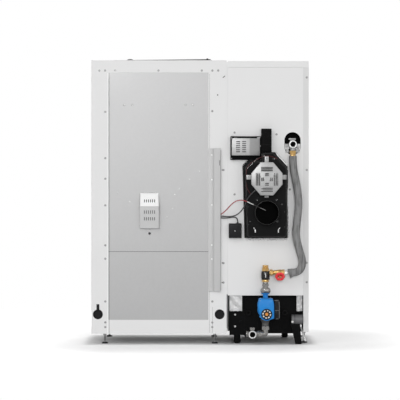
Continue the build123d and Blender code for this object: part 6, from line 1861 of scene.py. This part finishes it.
studio = {
    "ambient": 0.28, "shine": 0.55, "aim": (0, 0, 0.75),
    # name, place, width, height, power
    "lamps": [("keyLamp", (-3.2, -4.8, 4.0), 4.2, 4.2, 92.0), ("fillLamp", (3.4, -4.6, 2.2), 3.4, 3.4, 34.0),
              ("backLamp", (0.6, 3.6, 4.2), 3.4, 3.4, 40.0), ("stripLamp", (1.28, -5.2, 0.80), 0.34, 1.9, 8.0),
              ("glintLamp", (-2.0, -9.2, 3.0), 0.26, 2.4, 150.0), ("frontLamp", (0.4, -10.8, 1.6), 3.0, 3.0, 410.0),
              ("rearLamp", (1.8, 7.5, 2.4), 3.0, 3.0, 150.0)],
    # glow of the floor for camera rays: almost none under the unit, rising away from it and raised further on its
    # left, which paints a shadow under the unit and to its right
    "floorSize": 6.0, "floorWhite": 0.88, "liftUnder": 0.006, "liftNear": 0.29, "liftFar": 0.66, "liftLeft": 0.22,
    "near": (0.0, 0.07), "far": (0.20, 0.9), "left": (-0.42, -0.85), "fade": (1.9, 2.8),
    "footprint": (("X", 0.0, 0.60), ("Y", 0.056, 0.33))}


def softLamp(name, place, width, height, power):
    data = bpy.data.lights.new(name, "AREA")
    data.shape = "RECTANGLE"
    data.size, data.size_y, data.energy = width, height, power
    lamp = bpy.data.objects.new(name, data)
    lamp.location = place
    lamp.rotation_euler = (Vector(studio["aim"]) - Vector(place)).to_track_quat("-Z", "Y").to_euler()
    scene.collection.objects.link(lamp)
    return lamp


def makeWorld():
    world = bpy.data.worlds.new("paleRoom")
    scene.world = world
    world.use_nodes = True
    tree = world.node_tree
    tree.nodes.clear()
    ray = shaderNode(tree, "LightPath").outputs
    seen = maths(tree, "MAXIMUM", ray["Is Camera Ray"], ray["Is Transmission Ray"])
    shine = shaderNode(tree, "MapRange", {"Value": ray["Is Glossy Ray"], "To Min": studio["ambient"],
                                          "To Max": studio["shine"]}).outputs[0]
    sky = shaderNode(tree, "Background", {"Strength": maths(tree, "MAXIMUM", seen, shine), "Color": (1, 1, 1, 1)})
    shaderNode(tree, "OutputWorld", {"Surface": sky.outputs[0]})


# How far a point of the floor lies outside the unit's footprint
def footprintDistance(tree, place):
    squares = []
    for axis, middle, half in studio["footprint"]:
        off = maths(tree, "ABSOLUTE", maths(tree, "SUBTRACT", place[axis], middle))
        past = maths(tree, "MAXIMUM", maths(tree, "SUBTRACT", off, half), 0.0)
        squares.append(maths(tree, "MULTIPLY", past, past))
    return maths(tree, "SQRT", maths(tree, "ADD", *squares))


def ranged(tree, value, span, low, high):
    return shaderNode(tree, "MapRange", {"Value": value, "From Min": span[0], "From Max": span[1], "To Min": low,
                                         "To Max": high}, interpolation_type="SMOOTHSTEP").outputs[0]


def makeFloor():
    bm = bmesh.new()
    bmesh.ops.create_grid(bm, x_segments=1, y_segments=1, size=studio["floorSize"])
    mesh = bpy.data.meshes.new("paleFloor")
    bm.to_mesh(mesh)
    bm.free()
    material = bpy.data.materials.new("paleFloor")
    material.use_nodes = True
    tree = material.node_tree
    shader = tree.nodes["Principled BSDF"]
    for socket, value in (("Base Color", (*(studio["floorWhite"],) * 3, 1)), ("Roughness", 0.9),
                          ("Specular IOR Level", 0.1)):
        shader.inputs[socket].default_value = value
    coords = shaderNode(tree, "TexCoord").outputs["Object"]
    place = shaderNode(tree, "SeparateXYZ", {"Vector": coords}).outputs
    distance = footprintDistance(tree, place)
    # the camera-only glow is shaped round the footprint: painted shadow near the unit
    near = ranged(tree, distance, studio["near"], studio["liftUnder"], studio["liftNear"])
    far = ranged(tree, distance, studio["far"], 0.0, studio["liftFar"] - studio["liftNear"])
    left = ranged(tree, place["X"], studio["left"], 0.0, studio["liftLeft"])
    lift = maths(tree, "ADD", near, maths(tree, "ADD", far, left))
    seen = maths(tree, "MULTIPLY", lift, shaderNode(tree, "LightPath").outputs["Is Camera Ray"])
    floorGlowWithPaintedShadow = shaderNode(tree, "Emission", {"Strength": seen, "Color": (1, 1, 1, 1)}).outputs[0]
    both = shaderNode(tree, "AddShader", {0: shader.outputs[0], 1: floorGlowWithPaintedShadow}).outputs[0]
    clear = shaderNode(tree, "BsdfTransparent").outputs[0]
    fade = ranged(tree, distance, studio["fade"], 0.0, 1.0)
    mixed = shaderNode(tree, "MixShader", {"Fac": fade, 1: both, 2: clear}).outputs[0]
    tree.links.new(mixed, tree.nodes["Material Output"].inputs["Surface"])
    mesh.materials.append(material)
    floor = bpy.data.objects.new("paleFloor", mesh)
    floor.location = (0, 0, cadBounds[0][2])
    scene.collection.objects.link(floor)


lamps = {facts[0]: softLamp(*facts) for facts in studio["lamps"]}
lamps["glintLamp"].visible_diffuse = False
lamps["frontLamp"].visible_glossy = False
makeWorld()
makeFloor()
scene.view_settings.view_transform = "Standard"
print("studio set")
